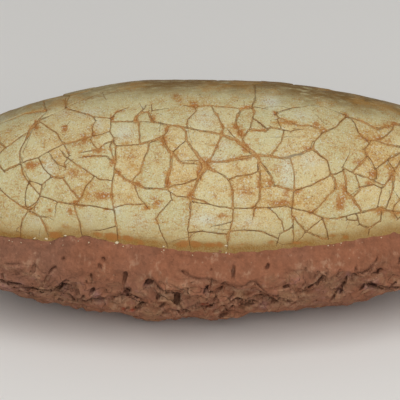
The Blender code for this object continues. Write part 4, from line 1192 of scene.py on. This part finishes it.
def patch_values(places, facings, spots):
    """Strength at each place on the chart's plane of the nearest of the patches of one colour."""
    strongest = np.zeros(len(places))
    for column, row, reach in spots:
        away = np.linalg.norm(places - np.array(chart_point(column, row)), axis=1) / (reach * CHART_UNIT)
        strongest = np.maximum(strongest, np.exp(-away ** 2) * facings)
    return strongest


def shape_rock(bm, settings):
    """Lumps, terraces and scoops on the rock's outside; notes on each vertex how much it is worked."""
    notes = {label: bm.verts.layers.float.new(label) for label in ("outside", "worked", "drop")}
    bm.normal_update()
    moves = []
    for vert in bm.verts:
        local = vert.co - WAIST
        outside = soft_step(-0.0012, -0.0024, depth_under_form(local))
        calm = SMOOTH_BAND + 0.0045 * noise.noise(Vector((local.x / 0.017, local.y / 0.03, 3.0)))
        worked = soft_step(0.3 * calm, 1.7 * calm, max(0.0, -local.z)) * outside
        step, drop = terrace_at(local)
        lump = layered_noise(local, (0.009, 1), (0.0035, 0.6))
        lift = settings.lump * lump * (0.45 + 0.55 * worked) * outside
        lift += (settings.terrace * step + settings.scoop * scoop_at(local)) * worked
        move = vert.normal * lift * soft_step(0.0, GROUND, vert.co.z)
        if depth_under_form(local) > -SKIN and local.z > LIP_FOOT:
            bite = LIP_BITE * (1 + 0.7 * noise.noise(local / 0.002))
            ragged = layered_noise(local, (0.0016, 0.00035), (0.005, 0.0003))
            move = move - form_normal(local) * bite + Vector((0, 0, ragged))
        moves.append(move)
        for label, value in (("outside", outside), ("worked", worked), ("drop", drop * worked)):
            vert[notes[label]] = value
    move_vertices(bm, moves)
    return notes


def cuts_at(bm, batches):
    """Depth of the marks and strength of the painted highlights on their lower rims at each vertex."""
    cuts = [0.0] * len(bm.verts)
    rims = [0.0] * len(bm.verts)
    bm.verts.ensure_lookup_table()
    for marks, flatten in batches:
        tree = kdtree.KDTree(len(bm.verts))
        for index, vert in enumerate(bm.verts):
            tree.insert(flatten(vert.co), index)
        tree.balance()
        for mark in marks:
            reach = 0.8 * mark.run.length + 2.5 * max(mark.halves)
            for place, index, _ in tree.find_range(mark.start + mark.run / 2, reach):
                facing = soft_step(0.05, 0.3, bm.verts[index].normal.dot(mark.normal))
                if facing > 0:
                    cut, rim = mark.cut_at(place)
                    cuts[index] = max(cuts[index], cut * facing)
                    rims[index] = max(rims[index], rim * facing)
    return cuts, rims


def refine_rock(bm, scattered, settings):
    """Cuts the rock's faces small and gives them their broad shape, then smaller still at the marks."""
    def longest(place):
        local = place - WAIST
        if abs(depth_under_form(local)) < CAVITY_SKIN and local.z < CAVITY_TOP:
            return settings.cavity_face
        if place.z < FLAT:
            return 3.5 * settings.face
        return settings.face if local.y < -0.002 and within(ROCK_FRONT, local.x) else 1.8 * settings.face

    def longest_at_marks(place):
        size = longest(place)
        marked = size < settings.cavity_face and features.distance(place) < MARK_REACH
        return size * settings.mark_face / settings.face if marked else size

    split_long_edges(bm, longest, settings.face)
    outer = [vert for vert in bm.verts if depth_under_form(vert.co - WAIST) < -SKIN]
    smooth(bm, [vert for vert in outer if vert.co.z > RESTING], 5)
    notes = shape_rock(bm, settings)
    true_outline(bm)
    surface = BVHTree.FromBMesh(bm)
    features = lines_on_rock(surface, LEDGES + tuple((start, end) for start, end, *_ in NOTCHES))
    for mark in scattered:
        features.draw(mark.start, mark.start + mark.run, sample=0.0005,
                      settle=lambda place: surface.find_nearest(place)[0])
    features.close()
    split_long_edges(bm, longest_at_marks, settings.mark_face)
    bm.normal_update()
    return notes


def make_rock(settings):
    """The rock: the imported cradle, made finer, chipped, notched and roughened."""
    bm = merged_copy("matrix")
    true_lip(bm)
    scattered = scattered_marks(bm, random.Random(SEED + 1), settings)
    notes = refine_rock(bm, scattered, settings)
    cuts, rims = cuts_at(bm, ((drawn_marks(settings), on_chart_plane), (scattered, Vector)))
    ledges = drawn_lines(LEDGES, chart_point)
    values = {label: [] for label in ("hollow_shade", "worn", "ledge", "ledge_away", "blunt_end")}
    moves = []
    facings = []
    for vert, cut, rim in zip(bm.verts, cuts, rims):
        local = vert.co - WAIST
        outside, worked = vert[notes["outside"]], vert[notes["worked"]]
        facing = soft_step(0.08, 0.35, vert.normal.dot(VIEW_BACK))
        side, away, _ = ledges.measure(on_chart_plane(vert.co), VIEW_BACK)
        away += HIDDEN * (1 - facing)
        crevice = math.exp(-(side / LEDGE_HALF) ** 2) * soft_step(0.0012, 0.0006, away)
        shelf = math.exp(-away / SHELF) * (0.5 if side > 0 else -0.35)
        grain = layered_noise(local, (0.0013, 1), (0.0007, 0.6))
        lift = settings.grain * grain * outside * (0.4 + 0.6 * worked) - cut * outside
        lift += settings.ledge * (shelf - crevice) * worked * facing * off_outline(local)
        moves.append(vert.normal * lift * soft_step(0.0, GROUND, vert.co.z))
        facings.append(facing)
        # hollow_shade: how deep a notch is, which sets the painted shade in it
        values["hollow_shade"].append(cut / settings.notch)
        # worn: painted highlight on the lower rims of notches and beside ledges
        values["worn"].append(rim + 0.8 * soft_step(0.0012, 0.0004, abs(away - 0.0008)) * (side < 0))
        values["ledge"].append(clamp(1000 * side, -FAR, FAR))
        values["ledge_away"].append(min(FAR, 1000 * away))
        values["blunt_end"].append(soft_step(-0.025, -0.05, local.x))
    places = np.array([tuple(on_chart_plane(vert.co)) for vert in bm.verts])
    for label, spots in (("lilac", LILACS), ("tan", TANS), ("rust", RUSTS)):
        values[label] = patch_values(places, np.array(facings), spots)
    move_vertices(bm, moves)
    return finish_piece("matrix_rock", bm, values, rock_material(settings), "matrix")


def rock_material(settings):
    """Dull red-brown mudstone with dusty and fresher patches, painted shade in the notches and along the
    ledges, painted highlights on their lower rims, and specks of lime.
    """
    paint = Paint("matrix_mudstone", settings.red)
    broad = paint.noise(0.016, 4, 0.6, seed=2.2)
    patch = paint.noise(0.0045, 4, 0.6, seed=4.4)
    tint = paint.noise(0.0030, 3, 0.6, seed=7.7)
    hanging = paint.noise(0.0013, 3, 0.6, stretch=(1, 1, 4), seed=17.0)
    grain = paint.noise(0.0008, 4, 0.7, seed=6.6)
    fine = paint.noise(0.00035, 2, 0.6, seed=9.1)
    worked, blunt_end, tan, lilac, rust = paint.attributes("worked", "blunt_end", "tan", "lilac", "rust")
    worn, hollow_shade, ledge, ledge_away, edge = paint.attributes("worn", "hollow_shade", "ledge", "ledge_away", "drop")
    # dull brown in broad patches, on the worked rock and towards the blunt end, which is darker
    paint.coat(settings.dull, paint.step(broad, 0.38, 0.66, 0.6) + 0.3 * worked + 0.5 * blunt_end)
    paint.coat(settings.tan, (0.7 * tan + paint.step(patch, 0.45, 0.65, 0.6)) * worked)
    paint.coat(settings.lilac, (0.9 * lilac + paint.step(tint, 0.54, 0.70, 0.45)) * worked)
    for texture, contrast, least in ((grain, 0.55, 0.72), (tint, 0.75, 0.62), (hanging, 0.45, 0.77)):
        paint.shade(contrast * texture + least)
    # painted light: the chiselled lower rock, which faces down, made lighter
    paint.shade(0.12 * worked + 1.0)
    paint.coat(settings.pale, paint.step(0.5 * hanging + 0.6 * patch, 0.60, 0.72, 0.45))
    # finer chipping than the mesh holds: gentle slopes that end in a little drop
    rise = 7.0 * paint.noise(0.010, 2, 0.5, seed=31.0) + 2.2 * paint.noise(0.0034, 2, 0.5, seed=33.0)
    share = paint.maths("FRACT", rise)
    chips = (paint.step(share, 0.84, 1.0) - share) * worked
    # painted highlights on the lower rims of notches and beside ledges; painted shade in the hollows, along
    # the ledges and at the terrace drops
    # painted highlight on the lower rims
    paint.coat(settings.pale, worn * paint.step(grain, 0.35, 0.65, 0.75) * worked)
    paint.coat(settings.rust, 0.8 * rust)
    # painted shade in the notches
    paint.coat(settings.dark, paint.step(hollow_shade + 0.3 * grain, 0.30, 0.95, 0.62))
    # painted shade along the crevices of the ledges
    uneven = abs(ledge + 0.3 * (grain - 0.5)) / (2.0 * patch + 0.1)
    line = paint.step(uneven, 0.72, 0.22, 0.75) * paint.step(ledge_away, 0.9, 0.5)
    paint.coat(settings.dark, line * (0.85 * worked + 0.15))
    # painted shade at the little drops of the terraces
    paint.coat(settings.dark, 0.15 * edge)
    paint.coat(settings.pale, paint.step(paint.dots(0.0034, seed=5.0), 0.11, 0.05, 0.45))
    return paint.finish(0.12 * grain + 0.82, 0.2,
                        ((fine, 0.00012), (grain, 0.00035), (tint, 0.0009), (chips, 0.0005)))


def make_crumbs(settings):
    """Crumbs of lime and mudstone left along the lip."""
    rng = random.Random(SEED + 2)
    depsgraph = bpy.context.evaluated_depsgraph_get()
    surface, shell = (BVHTree.FromObject(bpy.data.objects[name], depsgraph)
                      for name in ("matrix_rock", "eggshell"))
    bm = bmesh.new()
    spots = []
    for crumb in CRUMBS:
        hits = [hit for hit in (cast(surface, *crumb), cast(shell, *crumb)) if hit[0]]
        spots.append((max(hits, key=lambda hit: hit[0].dot(VIEW_BACK))[0], CRUMB))
    while len(spots) < len(CRUMBS) + LOOSE_CRUMBS:
        bearing = rng.uniform(-math.pi, math.pi)
        out = Vector((half_at(math.cos(bearing)) * math.cos(bearing), RADIUS * math.sin(bearing), 0))
        out *= 1 + rng.uniform(0.004, 0.02)
        place = surface.ray_cast(WAIST + out + Vector((0, 0, RADIUS)), Vector((0, 0, -1)))[0]
        spots.append((place, rng.uniform(0.00012, 0.0003)))
    for place, size in spots:
        if place is None:
            continue
        angle = rng.uniform(0, 6.28)
        turn = Matrix.Rotation(angle, 4, Vector((rng.random(), rng.random(), rng.random() + 0.1)))
        shape = Matrix.Diagonal((rng.uniform(0.9, 1.9), rng.uniform(0.6, 1.1), rng.uniform(0.4, 0.8), 1))
        made = bmesh.ops.create_icosphere(bm, subdivisions=1, radius=size,
                                          matrix=Matrix.Translation(place) @ turn @ shape)
        for vert in made["verts"]:
            vert.co += Vector([rng.uniform(-0.35, 0.35) * size for _ in range(3)])
    return finish_piece("lip_crumbs", bm, {}, crumb_material(settings))


def crumb_material(settings):
    """Pale, dusty lime, some of it stained by the rock."""
    paint = Paint("lime_crumbs", settings.lime)
    grain = paint.noise(0.0003, 3, 0.6)
    paint.coat(settings.red, paint.step(paint.noise(0.006, 2, 0.5, seed=3.3), 0.54, 0.62))
    paint.shade(0.3 * grain + 0.85)
    return paint.finish(0.9, relief=((grain, 0.0001),))


# --- The stage --------------------------------------------------------------------------------------------

FRAME_WIDTH = 2 * CHART_MIDDLE * CHART_UNIT
SENSOR = 36                 # width of the camera's sensor in millimetres
TRUE_PLANE = 0.016          # the chart's unit holds this far in front of the egg's axis
FLOOR_HALF = 4
LIGHT_SIZE = 1.0
KEY_FROM = Vector((0.05, -0.52, 0.85))      # directions of the lights
FILL_FROM = Vector((0.25, -1, 0.1))


def make_floor(settings):
    """A plain pale floor."""
    bm = bmesh.new()
    bmesh.ops.create_grid(bm, x_segments=1, y_segments=1, size=FLOOR_HALF)
    add_object("floor", new_mesh("floor", bm, Paint("floor_paint", settings.floor).finish(0.9)))


def aim(thing, place, target, up):
    """Puts a light or camera at a place, looking at a target."""
    back = (place - target).normalized()
    right = up.cross(back).normalized()
    turn = Matrix((right, back.cross(right), back)).transposed().to_4x4()
    thing.matrix_world = Matrix.Translation(place) @ turn


def add_light(name, power, direction):
    """A soft square light, a metre away in a direction from the piece."""
    data = bpy.data.lights.new(name, "AREA")
    data.energy = power
    data.size = LIGHT_SIZE
    aim(add_object(name, data), WAIST + direction.normalized(), WAIST, Vector((0, 0, 1)))


def make_camera(settings):
    """The camera, at the chart's tilt, with the egg's axis rising a little to the right."""
    data = bpy.data.cameras.new("camera")
    data.lens = settings.lens
    data.sensor_width = SENSOR
    camera = add_object("camera", data)
    side = (CHART_MIDDLE - CHART_WAIST) * CHART_UNIT
    rise = (CHART_AXIS - CHART_RISE * CHART_MIDDLE - CHART_MIDDLE) * CHART_UNIT
    target = WAIST + Vector((side, 0, 0)) + VIEW_UP * rise
    roll = math.atan(CHART_RISE)
    up = VIEW_UP * math.cos(roll) + Vector((math.sin(roll), 0, 0))
    distance = settings.lens / SENSOR * FRAME_WIDTH + TRUE_PLANE
    aim(camera, target + VIEW_BACK * distance, target, up)
    bpy.context.scene.camera = camera


def make_lights(settings):
    """A large light above the front, a weaker low one, and even light from all round."""
    add_light("key_light", settings.key, KEY_FROM)
    add_light("fill_light", settings.fill, FILL_FROM)
    world = bpy.data.worlds.new("studio")
    world.use_nodes = True
    sky = world.node_tree.nodes["Background"]
    sky.inputs["Color"].default_value = (1, 1, 1, 1)
    sky.inputs["Strength"].default_value = settings.sky
    bpy.context.scene.world = world
    bpy.context.scene.view_settings.view_transform = "Standard"


# --- Operators and panel ----------------------------------------------------------------------------------

class FOSSIL_OT_shell(bpy.types.Operator):
    """Make the cracked eggshell"""
    bl_idname = "fossil.shell"
    bl_label = "Make Eggshell"

    def execute(self, context):
        make_shell(context.scene.fossil.shell)
        return {"FINISHED"}


class FOSSIL_OT_rock(bpy.types.Operator):
    """Make the chiselled rock that the egg lies in"""
    bl_idname = "fossil.rock"
    bl_label = "Make Rock"

    def execute(self, context):
        make_rock(context.scene.fossil.rock)
        return {"FINISHED"}


class FOSSIL_OT_crumbs(bpy.types.Operator):
    """Make the crumbs along the lip; the shell and the rock come first"""
    bl_idname = "fossil.crumbs"
    bl_label = "Make Crumbs"

    def execute(self, context):
        make_crumbs(context.scene.fossil.rock)
        return {"FINISHED"}


class FOSSIL_OT_stage(bpy.types.Operator):
    """Make the floor, the lights and the camera"""
    bl_idname = "fossil.stage"
    bl_label = "Make Stage"

    def execute(self, context):
        settings = context.scene.fossil.stage
        make_floor(settings)
        make_lights(settings)
        make_camera(settings)
        return {"FINISHED"}


OPERATORS = (FOSSIL_OT_shell, FOSSIL_OT_rock, FOSSIL_OT_crumbs, FOSSIL_OT_stage)


class FOSSIL_PT_panel(bpy.types.Panel):
    """Sidebar panel that lists the pieces"""
    bl_idname = "FOSSIL_PT_panel"
    bl_label = "Fossil Egg"
    bl_space_type = "VIEW_3D"
    bl_region_type = "UI"
    bl_category = "Fossil"

    def draw(self, context):
        for operator in OPERATORS:
            self.layout.operator(operator.bl_idname)
        for group in (context.scene.fossil.shell, context.scene.fossil.rock, context.scene.fossil.stage):
            box = self.layout.box()
            for name in group.bl_rna.properties.keys():
                if name not in ("rna_type", "name"):
                    box.prop(group, name)


CLASSES = (ShellSettings, RockSettings, StageSettings, FossilSettings, *OPERATORS, FOSSIL_PT_panel)


def register():
    """Adds the classes and the scene's settings."""
    for item in CLASSES:
        bpy.utils.register_class(item)
    bpy.types.Scene.fossil = PointerProperty(type=FossilSettings)


def unregister():
    """Takes them away again."""
    del bpy.types.Scene.fossil
    for item in reversed(CLASSES):
        bpy.utils.unregister_class(item)


def main():
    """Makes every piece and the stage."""
    register()
    bpy.ops.fossil.shell()
    bpy.ops.fossil.rock()
    bpy.ops.fossil.crumbs()
    bpy.ops.fossil.stage()


if __name__ == "__main__":
    main()
